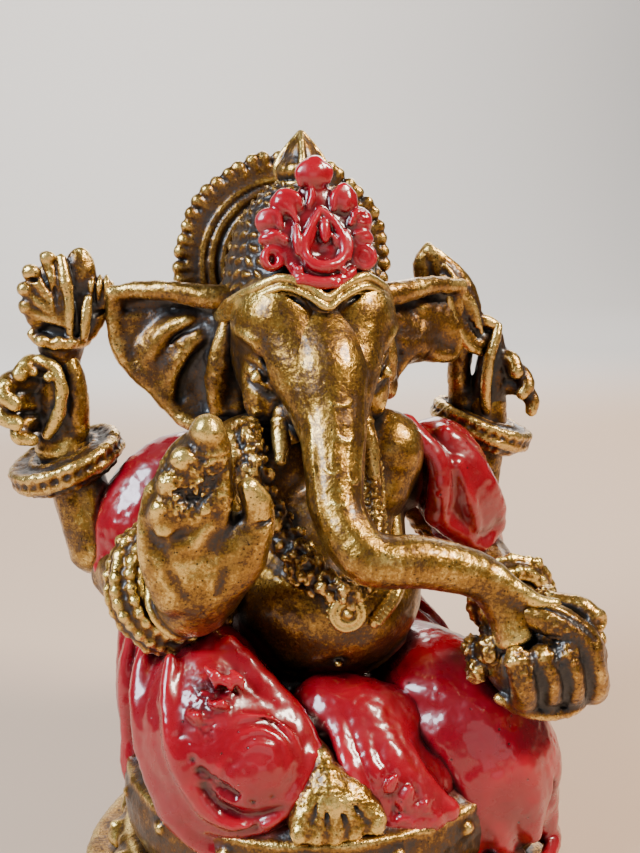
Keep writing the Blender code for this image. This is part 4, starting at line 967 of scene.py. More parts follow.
def sculpt_shawls():
    rows = {-1: ("right_shawl", [(17, 9, 53, 6.5), (27, 6, 50, 8.5), (33.5, 4, 44, 8.5),
            (35, 2, 39, 7)]), 1: ("left_shawl", [(17, 9, 53, 6.5), (27, 6, 50, 8.5), (34.5, 4, 42, 8.5),
            (38.5, 2, 33, 7)]),}
    for side, (name, points) in rows.items():
        low, high = corners(name)
        clay = Clay(low - (7, 14, 8), high + (7, 6, 7), 0.5)
        clay.add(limb(F, *[(side * x, y, z, r) for x, y, z, r in points]), 0)
        # folds that run down the cloth, with drips at the hem
        end = np.array(points[-1][:3], float)
        for k, (spread, ahead, drop) in enumerate(((-6.0, -3.6, 1.5), (-3.4, -5.6, -1.8), (-0.6, -6.6, 0.6),
                                                   (2.2, -6.4, -2.4), (4.8, -5.0, 0.2), (6.8, -2.8, -1.6))):
            top = np.array((points[1][0] + spread * 0.8, points[1][1] + ahead * 0.9 - 1.2,
                    points[1][2] + 1.5))
            mid = np.array((points[2][0] + spread, points[2][1] + ahead * 1.15, points[2][2]))
            low_end = np.array((end[0] + spread, end[1] + ahead, end[2] - 3.4 + drop))
            fold = [(side * p[0], p[1], p[2], r) for p, r in ((top, 1.1), (mid, 1.6), (low_end, 1.5))]
            clay.add(limb(F, *fold), 2.2)
            clay.add(Ball(F(side * low_end[0], low_end[1], low_end[2] - 0.8), 1.7 + 0.3 * (k % 2)), 1.4)
        if side > 0:
            # the corner that is thrown forward over the arm
            clay.add(Ball(F(30, -4, 50), (9.5, 8.5, 12.5), (0, -28, 0)), 3.0)
            clay.add(Ball(F(35, -3, 42), (8.5, 7.5, 9.0)), 3.0)
            clay.add(Ball(F(31, -9.5, 46), (8.0, 4.2, 10.5), (0, -28, 0)), 2.5)
            clay.add(limb(F, (19, -10, 62, 2.4), (24.6, -12.6, 55, 2.6), (25.4, -13.4, 48, 2.6),
                    (25.0, -13.0, 43.6, 2.0)), 1.8)
            clay.add(limb(F, (28, -9, 60, 1.6), (34.6, -10, 52, 2.2), (40.0, -8.6, 43, 2.2),
                    (41.6, -6.6, 38.4, 1.6)), 2.2)
            clay.add(limb(F, (25.0, -12.6, 43, 1.9), (30, -12.4, 39, 2.1), (36.2, -10.4, 34.8, 2.0),
                    (41.0, -6.8, 37.6, 1.7)), 1.8)
            clay.add(limb(F, (29.4, -13.0, 54, 1.0), (31.6, -13.6, 47, 1.5), (33.6, -12.4, 40, 1.2)), 1.8)
        cast(name, clay, "red_enamel", 0.24, polish=3)

    clay = Clay(F(-27, 6, 8), F(27, 28, 63), 0.6)
    clay.add(Ball(F(0, 15, 46), (23, 6, 13)), 0)
    clay.add(Ball(F(0, 18, 30), (22, 6.5, 17)), 2.0)
    for k in range(9):
        x = -18 + 4.5 * k + 0.9 * math.sin(2.6 * k)
        bow = 5.4 * math.sqrt(max(0.0, 1 - (x / 23) ** 2))
        r = 1.3 + 0.4 * math.sin(3.9 * k)
        sway = 1.3 * math.sin(1.9 * k + 1)
        clay.add(limb(F, (x * 0.86, 15.5 + bow, 53, r * 0.5), (x + sway, 18 + bow, 40 + 2 * sway, r),
                (x * 1.02 - sway, 19 + bow, 27, r * 1.1), (x * 0.96 + sway, 18.4 + bow * 0.8, 15, r * 0.8)),
                1.8)
    clay.add(limb(F, (-20, 14, 56, 1.4), (-10, 18.5, 58.5, 1.6), (0, 19.6, 59, 1.6), (10, 18.5, 58.5, 1.6),
            (20, 14, 56, 1.4)), 1.0)
    cast("shawl_back", clay, "red_enamel", 0.22, polish=2)

    clay = Clay(F(-45, -16, -12), F(-28, 9, 32), 0.42)
    clay.add(limb(F, (-35, 3, 26, 3.6), (-36, -3, 18, 3.9), (-36.5, -7, 9, 4.2), (-36.5, -8, 2, 3.6)), 0)
    clay.add(limb(F, (-36.4, -6, 24, 1.1), (-38.6, -8, 14, 1.4), (-38.8, -10, 4, 1.5),
            (-38.6, -11, -4, 1.7)), 0.7)
    clay.add(limb(F, (-34.6, -7, 23, 1.0), (-35.8, -10.4, 12, 1.3), (-35.8, -12, 2, 1.2)), 0.6)
    clay.add(limb(F, (-37.4, -9.5, 1, 2.2), (-38.0, -11, -4, 2.6), (-38.2, -11.5, -7, 2.0)), 0.8)
    clay.carve(limb(F, (-37.2, -9.6, 20, 0.5), (-37.4, -12.2, 10, 0.6), (-37.4, -13, 1, 0.5)), 0.5)
    cast("shawl_tail", clay, "red_enamel", 0.14, polish=2)


# ---------------------------------------------------------------- arms and hands


ARM_THICKNESS = 6.3
ARMLET = 0.45  # its share of the way down the upper arm


def sculpt_arm(name, shoulder, elbow, wrist, wrist_radius):
    for part, a, b, ra, rb in (("upperarm", shoulder, elbow, ARM_THICKNESS, ARM_THICKNESS),
                               ("forearm", elbow, wrist, ARM_THICKNESS, wrist_radius)):
        low, high = corners(f"{name}_{part}")
        clay = Clay(low - 2, high + 2, 0.5)
        a, b = np.asarray(a, float), np.asarray(b, float)
        clay.add(Rope([(*a, ra), (*((a + b) / 2), (ra + rb) / 2 * (1.03 if part == "forearm" else 0.97)),
                (*b, rb)]), 0)
        along = b - a
        if part == "upperarm":
            for share in (ARMLET, ARMLET + 0.12):
                clay.add(Torus(a + along * share, along, 5.9, 0.9), 0.2)
            for point, _ in circle(a + along * (ARMLET + 0.06), along, ARM_THICKNESS, 20):
                clay.add(Ball(point, 0.75), 0.15)
        cast(f"{name}_{part}", clay, "gold_paint", 0.22)


def sculpt_bangle(name, middle, axis):
    axis = unit(axis)
    clay = Clay(middle - 14.5, middle + 14.5, 0.36)
    clay.add(Disc(middle, axis, 11.0, 1.9, 1.2), 0)
    clay.add(Torus(middle + axis * 1.1, axis, 10.8, 1.2), 0.5)
    clay.add(Torus(middle - axis * 1.1, axis, 10.9, 1.3), 0.5)
    clay.add(Torus(middle + axis * 1.6, axis, 6.8, 0.9), 0.6)
    clay.add(Torus(middle - axis * 2.6, axis, 8.0, 1.9), 1.2)
    clay.carve(Torus(middle, axis, 12.3, 0.5), 0.5)
    for i, (point, out) in enumerate(circle(middle + axis * 0.1, axis, 11.4, 30)):
        twist = np.cross(axis, out)
        clay.add(Rope([(*(point - axis * 1.3 - twist * 0.5), 0.55),
                (*(point + axis * 1.3 + twist * 0.5), 0.55)]), 0.5)
        lump = middle - axis * 2.9 + out * (8.8 + 0.7 * math.sin(2.3 * i))
        clay.add(Ball(lump, 1.0 + 0.3 * math.sin(1.7 * i)), 0.6)
    cast(name, clay, "dark_gold_paint", 0.26, grit=0.18)


def sculpt_bracelet(name, middle, axis, radius, tube, rows, size):
    axis = unit(axis)
    reach = radius + tube + 2.5
    clay = Clay(middle - reach, middle + reach, 0.34)
    clay.add(Torus(middle, axis, radius, tube * 0.94), 0)
    for row in range(rows):
        angle = math.radians(-72 + 144 * row / (rows - 1))
        offset = axis * math.sin(angle) * tube * 1.05
        ring = radius + math.cos(angle) * tube * 0.95
        count = int(2 * math.pi * ring / (size * 1.92))
        for point, _ in circle(middle + offset, axis, ring, count, start=180 / count * (row % 2)):
            jitter = rng.normal(0, 0.12, 3)
            clay.add(Ball(point + jitter, size * rng.uniform(0.88, 1.12)), 1.0)
    for s in (-1, 1):
        clay.add(Torus(middle + axis * s * tube * 1.1, axis, radius - tube * 0.25, 0.75), 0.15)
    cast(name, clay, "gold_paint", 0.12, grit=0.14)


def sculpt_upper_right_hand():
    """Fingers curled towards the palm round a deep hollow, beside the smooth column of the thumb."""
    low, high = corners("upper_right_hand")
    clay = Clay(low - (6, 6, 3), high + (4, 3, 6), 0.34)
    clay.add(limb(F, (-48.4, 11, 57.0, 5.8), (-48.5, 10.8, 60, 4.9), (-49.2, 10.2, 64, 4.5),
            (-49.6, 9.8, 69, 4.3), (-48.8, 9.6, 73, 3.6)), 0)
    clay.add(limb(F, (-45.4, 8.6, 60, 2.3), (-45.2, 7.2, 66, 2.4), (-45.6, 7.0, 71, 2.3),
            (-46.8, 7.8, 76, 2.0)), 0.8)
    # the edge of the palm that runs round the hollow
    clay.add(limb(F, (-51.4, 5.6, 60.6, 1.2), (-49.0, 4.0, 65, 1.3), (-48.2, 3.6, 70, 1.3),
            (-49.4, 4.4, 74, 1.4), (-52.0, 5.6, 75.4, 1.5)), 0.5)
    clay.add(finger(F, (-50, 9, 73, 2.4), (-53.8, 6.4, 74.6, 2.1), (-56.0, 4.6, 73.0, 1.7)), 0.5)
    clay.add(finger(F, (-52, 9.5, 70.6, 2.5), (-57.2, 6.4, 71.6, 2.3), (-59.2, 3.8, 69.6, 2.0),
            (-57.2, 2.2, 67.6, 1.5)), 0.5)
    clay.add(finger(F, (-52, 9.8, 66.6, 2.5), (-57.4, 6.6, 67.4, 2.3), (-59.6, 4.0, 65.2, 2.0),
            (-57.0, 2.4, 63.6, 1.5)), 0.5)
    clay.add(finger(F, (-51.6, 10, 63, 2.6), (-55.4, 7.8, 62.6, 2.3), (-56.8, 5.6, 60.8, 1.9),
            (-54.6, 4.6, 59.8, 1.5)), 0.6)
    for x, y, z, r in ((-53.4, 4.6, 73.4, 1.0), (-58.6, 3.4, 71.4, 1.0), (-59.4, 3.4, 66.6, 0.9),
            (-50.6, 3.6, 72.4, 1.0)):
        clay.add(Ball(F(x, y, z), r), 0.4)
    clay.carve(Ball(F(-53.0, 3.4, 67.6), (2.6, 3.4, 4.4)), 0.8)
    clay.carve(Ball(F(-54.4, 3.0, 62.6), (1.6, 2.0, 1.6)), 0.6)
    cast("upper_right_hand", clay, "gold_paint", 0.22, grit=0.08)


def sculpt_upper_left_hand():
    """A hand seen edge on: a sharp ridge up the wrist and three knuckles that step down on the outside."""
    low, high = corners("upper_left_hand")
    clay = Clay(low - (8, 5, 4), high + (4, 3, 7), 0.34)
    clay.add(limb(F, (46.2, 12, 57.6, 5.0), (46.2, 11.4, 62, 4.2), (46.4, 10.4, 67, 4.0),
            (46.4, 9.6, 72, 3.4), (46.2, 9.4, 76.6, 2.4)), 0)
    clay.add(limb(F, (44.6, 8.0, 59, 1.3), (43.6, 6.4, 66, 1.3), (43.9, 5.8, 72, 1.3),
            (45.4, 6.4, 76.6, 1.2), (46.4, 7.4, 79.4, 1.1)), 0.6)
    clay.add(finger(F, (47, 9, 72.4, 2.4), (49.4, 6.6, 71.8, 2.1), (50.0, 4.6, 69.4, 1.7)), 0.45)
    clay.add(finger(F, (47.4, 9.4, 69.2, 2.4), (51.4, 7, 69.0, 2.2), (52.8, 4.8, 66.4, 1.8),
            (51.4, 4.0, 64.6, 1.4)), 0.45)
    clay.add(finger(F, (47.4, 9.6, 65.8, 2.4), (52.2, 7.4, 65.6, 2.1), (54.4, 5.2, 62.8, 1.8),
            (54.0, 4.6, 60.6, 1.4)), 0.45)
    clay.carve(limb(F, (46.2, 4.6, 75, 0.5), (46.4, 4.6, 69, 0.7), (47.6, 5.4, 62, 0.7)), 0.6)
    # the stem of the attribute runs down behind the wrist
    clay.add(limb(F, (40.4, 12.6, 76, 2.6), (40.0, 13.4, 69, 2.7), (40.6, 13.6, 61.5, 2.8)), 0.8)
    clay.add(Ball(F(43.4, 12.6, 61), (5.0, 3.6, 4.0)), 1.5)
    cast("upper_left_hand", clay, "dark_gold_paint", 0.22, grit=0.08)


def sculpt_lotus():
    """A ragged open flower in a cup: a tall petal, a fan of curled ones and a low one with ribs."""
    low, high = corners("lotus_flower")
    clay = Clay(low - (5, 6, 5), high + (5, 5, 5), 0.33)
    clay.add(Ball(F(-47.0, 9.2, 84.5), (5.6, 3.6, 7.0)), 0)
    clay.add(Ball(F(-47.4, 11.8, 88.5), (6.2, 2.4, 6.6)), 0.8)
    # cup, with a lumpy rim, running down into the hand
    clay.add(Rope(path(F, (-47.8, 9.6, 74.0, 3.4), (-47.9, 9.2, 77.4, 4.6)), 0.6), 1.2)
    clay.add(Torus(F(-47.8, 9.2, 79.6), (0.06, -0.18, 1), 4.9, 1.2), 0.7)
    for point, _ in circle(F(-47.8, 9.2, 80.2), (0.06, -0.18, 1), 5.2, 15):
        size = rng.uniform(0.7, 1.25)
        clay.add(Ball(point + rng.normal(0, 0.3, 3), (size * 1.2, size, size)), 0.5)
    # tall petal with a ridge in front of it
    clay.add(Ball(F(-43.7, 8.0, 91.6), (3.3, 2.2, 6.0), (0, 6, 0)), 0.5)
    clay.add(Ball(F(-43.2, 7.2, 85.0), (2.4, 1.9, 4.6)), 0.6)
    clay.add(limb(F, (-46.9, 6.4, 95.4, 1.0), (-46.4, 5.2, 91, 1.3), (-45.8, 4.8, 86, 1.1),
            (-46.0, 5.0, 80.6, 0.9)), 0.4)
    clay.add(limb(F, (-42.3, 5.4, 87.4, 0.9), (-42.8, 4.8, 83.6, 1.1), (-43.4, 5.2, 80.2, 0.9)), 0.4)
    clay.carve(limb(F, (-44.5, 5.2, 90.4, 0.35), (-44.5, 4.6, 85.6, 0.6), (-44.7, 4.8, 81.2, 0.5)), 0.4)
    # fan of curled petals
    fan = [((-48.6, 5.6, 90.6), (-49.8, 7.0, 95.6), 1.15), ((-50.4, 5.6, 88.6), (-53.0, 7.0, 92.8), 1.35),
            ((-51.2, 5.6, 86.6), (-54.2, 7.0, 89.4), 1.3), ((-51.4, 5.8, 84.4), (-54.0, 7.2, 86.2), 1.4)]
    for middle, tip, r in fan:
        clay.add(limb(F, (-46.8, 5.4, 82.5, 0.7), (*middle, r * 0.85), (*tip, r * 1.2)), 0.4)
        clay.add(Ball(F(tip[0] + 0.4, tip[1] - 0.8, tip[2]), (r * 1.3, r, r * 1.1)), 0.4)
    clay.add(Ball(F(-51.6, 7.6, 84.4), (2.8, 2.4, 3.0)), 0.7)
    clay.carve(limb(F, (-47.9, 4.2, 83, 0.35), (-48.3, 4.4, 86.6, 0.5), (-48.4, 5.2, 90, 0.35)), 0.4)
    clay.carve(Ball(F(-52.4, 5.4, 91.4), (1.0, 0.9, 0.5)), 0.3)
    # low petal on the right, with ribs
    clay.add(Ball(F(-39.9, 8.6, 88.8), (3.4, 2.4, 2.9)), 0.7)
    clay.add(limb(F, (-39.2, 8.4, 87.6, 1.9), (-40.6, 7.8, 83.6, 1.8), (-42.2, 7.4, 80.6, 1.5)), 0.6)
    for k in range(3):
        clay.add(limb(F, (-41.8 + 1.5 * k, 6.4, 87.2, 0.45), (-41.4 + 1.5 * k, 6.0, 90.2, 0.6),
                (-40.8 + 1.2 * k, 7.2, 91.8, 0.4)), 0.3)
    clay.carve(limb(F, (-41.9, 5.8, 86, 0.5), (-41.2, 6.0, 84.4, 0.6), (-38.8, 7.4, 85.2, 0.5)), 0.4)
    cast("lotus_flower", clay, "dark_gold_paint", 0.22, grit=0.10)


def sculpt_conch():
    """A long shell-like leaf that leans to its tip, with a toothed lower border and a bud behind."""
    low, high = corners("conch_shell")
    clay = Clay(low - (4, 5, 6), high + (5, 4, 4), 0.33)
    line = spline(path(F, (41.6, 9.4, 75.0, 1.6), (40.4, 9.0, 79.0, 3.2), (38.4, 8.8, 84.6, 4.1),
            (36.0, 9.0, 89.6, 3.6), (33.0, 9.6, 93.8, 2.2), (31.2, 10.0, 96.2, 1.2)), 0.5)
    clay.add(Rope(line, 0.5, flat=(0, 1, 0), times=1.7), 0)
    border = spline(path(F, (33.4, 7.6, 90.2, 0.9), (34.2, 7.0, 86.0, 1.1), (35.8, 6.8, 80.8, 1.1),
            (39.0, 7.2, 75.8, 1.1), (42.6, 7.8, 73.6, 0.9)), 0.9)
    clay.add(Rope(border, 0.9), 0.5)
    for row in border[1:-1]:
        clay.add(Rope([(*row[:3], 0.5), (*(row[:3] + np.array((2.0, -0.3, 1.2))), 0.35)], 0.9), 0.6)
    for k in range(4):
        clay.add(limb(F, (33.6 + 0.9 * k, 7.6, 93.2 - 0.8 * k, 0.4),
                (36.6 + 1.2 * k, 6.4, 88.2 - 1.2 * k, 0.55),
                (38.6 + 1.2 * k, 6.4, 82.4 - 1.4 * k, 0.4)), 0.4)
    clay.add(limb(F, (30.6, 11.6, 89, 2.2), (30.2, 11.8, 93.0, 2.4), (31.0, 11.2, 96.6, 1.3)), 0.8)
    clay.add(limb(F, (41.6, 9.0, 80.6, 1.5), (43.8, 8.4, 80.6, 1.6), (46.0, 8.0, 79.6, 1.3)), 0.6)
    clay.add(limb(F, (41.6, 9.8, 76, 2.2), (44.4, 9.4, 76.4, 2.2), (46.4, 9.2, 76.0, 1.8)), 0.8)
    cast("conch_shell", clay, "dark_gold_paint", 0.20, grit=0.10)


def sculpt_blessing_hand():
    """A raised palm: stepped fingertips over a crumbly hollow, soft creases and a thumb held close."""
    low, high = corners("blessing_hand")
    clay = Clay(low - 3, high + 3, 0.33)
    clay.add(Ball(F(-26.0, -33.4, 44.5), (9.2, 5.4, 11.0)), 0)
    clay.add(Rope(path(F, (-27, -29.5, 37, 7.2), (-26, -32.5, 41, 6.4)), 1.0), 1.5)
    # outer edge, heel and ball of the thumb
    clay.add(limb(F, (-33.9, -34.6, 58, 1.6), (-34.6, -34.6, 52, 2.1), (-34.0, -34.6, 46, 2.6),
            (-31.8, -34.4, 39.6, 2.8)), 1.8)
    clay.add(Ball(F(-30.4, -35.8, 44.6), (3.6, 2.8, 6.6), (0, -10, 0)), 2.2)
    clay.add(Ball(F(-19.6, -35.6, 46.6), (4.6, 4.0, 7.6), (0, 12, 0)), 1.8)
    # fingers together in one slab, each tip lower than the last
    clay.add(Ball(F(-27.2, -34.6, 59.0), (6.6, 3.2, 10.0), (0, 18, 0)), 2.0)
    fingers = ((-33.2, 58.6, 1.9), (-31.4, 62.8, 2.2), (-28.8, 66.8, 2.5), (-25.0, 71.2, 2.9))
    for x, top, r in fingers:
        clay.add(finger(F, (x + 1.2, -34.6, 50, r * 1.1), (x + 0.3, -35.2, (50 + top) / 2, r * 1.1),
                (x, -36.4, top - 4.4, r * 1.1), (x + 0.2, -37.6, top - 2.4, r)), 1.1)
        clay.add(Ball(F(x + 1.0, -38.0, top - 6.0), (r * 0.9, r * 0.7, r * 1.2), (0, 20, 0)), 1.2)
    clay.add(Ball(F(-23.4, -37.0, 64.6), (2.2, 2.0, 3.6)), 1.5)
    clay.carve(Ball(F(-27.6, -42.6, 57.8), (4.2, 4.0, 2.6), (0, 25, 0)), 1.6)
    # folds of skin at the root of the fingers
    clay.add(limb(F, (-31.6, -36.4, 53.0, 0.9), (-28.2, -37.6, 54.2, 1.4), (-24.6, -37.8, 56.4, 1.5),
            (-22.4, -37.4, 58.0, 1.1)), 2.0)
    clay.add(limb(F, (-31.0, -37.0, 49.2, 0.9), (-27.6, -37.9, 50.4, 1.2), (-25.2, -37.8, 52.6, 1.0)), 2.2)
    clay.carve(limb(F, (-31.2, -39.0, 51.4, 0.3), (-27.4, -40.0, 52.4, 0.55), (-24.0, -40.0, 54.8, 0.4)), 1.0)
    clay.carve(limb(F, (-29.8, -39.6, 48.0, 0.3), (-27.4, -40.3, 48.4, 0.45), (-25.6, -40.2, 49.8, 0.3)), 0.8)
    clay.carve(limb(F, (-26.2, -40.6, 52.6, 0.3), (-24.0, -40.6, 49.6, 0.5), (-22.8, -40.0, 45.4, 0.5),
            (-23.8, -39.2, 41.0, 0.3)), 1.3)
    clay.carve(limb(F, (-33.0, -38.4, 51.0, 0.2), (-32.4, -39.2, 46.0, 0.3), (-30.0, -39.4, 41.0, 0.2)), 1.8)
    # thumb, with a dark slot between it and the fingers
    clay.add(finger(F, (-18.2, -35.0, 46, 3.6), (-16.6, -36.4, 51, 3.0), (-16.7, -37.6, 55.6, 2.6),
            (-18.2, -38.4, 58.8, 2.0)), 1.2)
    clay.add(finger(F, (-22.8, -36.8, 53, 1.4), (-22.4, -37.8, 57.0, 1.4), (-22.6, -37.6, 61.0, 1.2)), 1.0)
    clay.carve(finger(F, (-19.9, -39.6, 53.0, 0.5), (-20.0, -39.4, 56.4, 0.9), (-20.6, -39.0, 61, 0.9)), 0.5)
    clay.carve(finger(F, (-19.2, -40.0, 53.0, 0.35), (-17.4, -40.0, 52.4, 0.45),
            (-14.8, -38.6, 53.0, 0.3)), 0.8)
    clay.add(Torus(F(-28.4, -26.6, 35.6), (0.43, -0.77, 0.48), 7.0, 0.9), 0.4)
    spots = [(F(-28.2, -38.8, 58.4), 4.0, 1.0), (F(-25.4, -38.8, 62.6), 3.6, 0.8),
            (F(-31, -37, 62.0), 3.0, 0.45), (F(-22.6, -39.0, 56.6), 2.2, 0.4)]
    cast("blessing_hand", clay, "gold_paint", 0.20, rough_spots=spots)


OFFERING_PALM = (35.5, -38.0, 24.5)


def palm_point(x, y, z):
    return F(OFFERING_PALM[0] + x, OFFERING_PALM[1] + y, OFFERING_PALM[2] + z)


def sculpt_offering_hand():
    """A closed fist seen from the front, its fingers parted only by deep dark slots."""
    low, high = corners("offering_hand")
    clay = Clay(low - (6, 5, 3), high + (5, 4, 6), 0.34)
    P = palm_point
    clay.add(Ball(P(-0.2, -2.6, -1.8), (10.4, 9.0, 7.6)), 0)
    clay.add(Ball(P(2, 8, -1), (7, 7, 6)), 2.0)
    for k, x in enumerate((-7.4, -2.8, 1.8, 6.6)):
        r = (2.5, 2.6, 2.6, 2.4)[k]
        clay.add(finger(P, (x + 1.8, -6.0, -8.2, r * 0.8), (x + 1.6, -9.2, -5.6, r),
                (x + 0.4, -10.8, -1.4, r), (x - 0.8, -10.4, 2.6, r * 0.95)), 0.9)
    for x, top in ((-4.9, 0.6), (-0.3, 2.8), (4.3, 3.6)):
        clay.carve(finger(P, (x + 1.6, -11.6, -6.0, 0.55), (x + 0.9, -13.2, -2.2, 0.95),
                (x, -13.2, top, 0.7)), 0.7)
    clay.carve(finger(P, (-8.4, -11.6, 4.4, 0.6), (-2.0, -13.6, 5.6, 0.8), (4.0, -13.2, 6.2, 0.7),
            (9.0, -10.0, 4.4, 0.6)), 1.0)
    # back of the hand slopes down to the right, with a ring at its edge
    clay.add(finger(P, (-5.6, -4.6, 9.4, 2.6), (-0.6, -7.4, 8.2, 3.2), (4.6, -9.2, 5.0, 3.0),
            (7.6, -9.2, 1.4, 2.4)), 1.2)
    clay.carve(finger(P, (-3.4, -7.6, 11.0, 0.3), (1.8, -10.6, 9.4, 0.4), (6.4, -11.8, 5.4, 0.3)), 0.6)
    clay.add(finger(P, (2.4, -2.0, 9.4, 1.8), (6.6, -4.6, 9.0, 1.9), (8.6, -6.4, 7.6, 1.9)), 0.8)
    clay.add(Torus(P(8.8, -7.2, 7.0), (0.2, -0.9, 0.3), 1.5, 0.85), 0.3)
    clay.carve(Ball(P(8.9, -8.6, 7.1), 0.8), 0.3)
    clay.add(Ball(P(10.2, -5.6, 2.6), (1.6, 2.0, 1.9)), 0.6)
    clay.add(Ball(P(9.6, -5.0, -2.0), (2.6, 3.6, 4.4), (0, -12, 0)), 1.2)
    clay.add(limb(P, (-9.2, -6.0, -6.8, 1.1), (-4, -9.8, -8.4, 1.2), (3, -10.0, -8.6, 1.2),
            (8.6, -7.0, -6.2, 1.1)), 0.9)
    spots = [(P(0, -12, 5.4), 4.4, 0.5), (P(-7, -11, 2), 4.0, 0.5), (P(2, -11, -6.5), 4.0, 0.25)]
    cast("offering_hand", clay, "dark_gold_paint", 0.20, grit=0.08, rough_spots=spots)


def sculpt_sweets():
    low, high = corners("sweet_pile")
    clay = Clay(low - (8, 4, 5), high + (3, 3, 3), 0.34)
    P = palm_point
    clay.add(Ball(P(-1.5, 0, 3.4), (8.5, 7.0, 4.6)), 0)
    places = [(-6.6, -5.2, 4.6, 3.4), (-0.8, -6.0, 5.2, 3.5), (4.6, -4.8, 5.4, 3.3), (-4.2, -0.6, 7.0, 3.4),
            (1.6, -0.2, 8.0, 3.4), (5.4, 1.2, 5.6, 3.0), (-7.6, 0.8, 3.8, 3.2), (-10.0, -3.0, 1.6, 3.2),
            (-11.6, 0.6, 0.0, 2.8), (-12.2, -2.2, -2.6, 2.5), (0.0, 3.8, 5.0, 3.2)]
    for i, (x, y, z, r) in enumerate(places):
        clay.add(Ball(P(x, y, z), (r * 0.85, r * 0.9, r * 1.1), (0, 24 * math.sin(2.1 * i), 0)), 0.5)
    cast("sweet_pile", clay, "dark_gold_paint", 0.30, grit=0.55)


# ---------------------------------------------------------------- legs, feet and wrap


def sculpt_right_leg():
    """The folded leg under its wrap: a domed knee in a rolled rim, and a hem that stands away beside it."""
    clay = Clay(F(-46, -56, -13), F(0, 9, 34), 0.45)
    clay.add(Ball(F(-24, -27, 10), (14.5, 17, 16)), 0)
    for middle, radii in (((-25, -12, 9.5), (13.5, 18, 11.5)), ((-18, -34, 8), (12.5, 13.5, 11.5)),
            ((-24, -24, 18), (9.5, 11.5, 11)), ((-27, -34, 1), (8.5, 8.0, 7)), ((-19, -39, -0.5),
            (9.5, 6.5, 5))):
        clay.add(Ball(F(*middle), radii), 3.0)
    hem = [(-33.6, -18, 27.0, 1.4), (-36.8, -25, 19.4, 1.8), (-36.6, -30.5, 12, 1.9),
            (-34.8, -34.6, 5, 1.9), (-31.6, -38, -1.4, 2.0), (-27.6, -40.6, -5.2, 2.0),
            (-22.4, -42.6, -6.2, 2.0), (-16.8, -43.8, -3.8, 1.8), (-12, -44.2, 0.4, 1.4)]
    clay.add(limb(F, *hem), 2.2)
    rim = [(-31.6, -31, 26.0, 1.2), (-32.8, -35.4, 20.4, 1.5), (-32.8, -38.6, 15.4, 1.5),
            (-31.8, -40.4, 11, 1.5), (-29.4, -42.0, 6.0, 1.6), (-26.4, -43.4, 2.4, 1.7),
            (-22.2, -45.2, 0.9, 1.8), (-16.8, -46.2, 2.0, 1.8), (-11.8, -45.2, 6.0, 1.6),
            (-8.8, -43.0, 10.4, 1.3)]
    clay.add(limb(F, *rim), 2.0)
    clay.carve(limb(F, *[(x - 2.2, y - 0.4, z - 1.4, 0.55) for x, y, z, _ in rim[1:8]]), 1.6)
    clay.carve(limb(F, *[(x + 1.9, y - 1.2, z + 1.7, 0.5) for x, y, z, _ in rim[4:8]]), 1.8)
    # soft edge on the belly's side
    clay.add(limb(F, (-20.6, -30.0, 27.4, 1.4), (-15.4, -34.6, 21.6, 1.9), (-10.6, -37.8, 15.4, 2.0),
            (-7.6, -41.0, 10.2, 1.5)), 3.0)
    # faint rings brushed round the knee
    for radius in (3.2, 5.2, 7.2):
        clay.add(Torus(F(-18.6, -45.6 + radius * radius * 0.045, 12.0), (-0.1, -1, 0.25), radius, 0.32), 1.2)
    # casting faults: a crack with a hole, wrinkles above it, gouges below
    clay.carve(limb(F, (-31.4, -40.2, 16.2, 0.4), (-29.0, -42.2, 17.2, 0.55), (-26.8, -42.8, 18.8, 1.1),
            (-26.9, -41.8, 21.2, 0.6)), 0.5)
    clay.carve(limb(F, (-26.6, -43.0, 18.0, 0.9), (-26.2, -43.8, 15.4, 0.4)), 0.4)
    clay.carve(limb(F, (-28.2, -43.2, 10.6, 0.9), (-25.8, -44.8, 8.4, 1.3), (-22.8, -46.0, 6.8, 1.0)), 0.9)
    for x, y, z, r in ((-19.8, -47.0, 5.6, 0.6), (-29.4, -42.6, 12.6, 0.7), (-16.4, -47.2, 6.2, 0.5)):
        clay.carve(Ball(F(x, y, z), r), 0.5)
    wrinkles = [((-28.6, -36.4, 25.0), (-27.6, -38.6, 22.6)), ((-26.0, -35.8, 26.4), (-24.6, -38.4, 23.2)),
            ((-24.0, -37.2, 25.2), (-22.0, -38.8, 22.8)), ((-25.6, -40.0, 21.4), (-23.2, -40.6, 20.6)),
            ((-21.8, -36.8, 25.6), (-20.0, -38.6, 22.6)), ((-29.8, -39.6, 19.8), (-28.2, -40.8, 18.8))]
    for a, b in wrinkles:
        x, y, z = ((p + q) / 2 for p, q in zip(a, b))
        clay.add(limb(F, (*a, 0.4), (x + 0.5, y - 0.5, z + 0.3, 0.9), (*b, 0.4)), 1.2)
    spots = [(F(-25.5, -39, 23.5), 4.4, 0.42), (F(-26.6, -42.6, 18.4), 2.6, 0.4),
            (F(-25.6, -44, 8.6), 3.0, 0.35)]
    cast("right_leg", clay, "red_enamel", 0.20, polish=2, rough_spots=spots)


LEFT_HEM_HEIGHT = 11.0
LEFT_SOLE_HEIGHT = 6.3


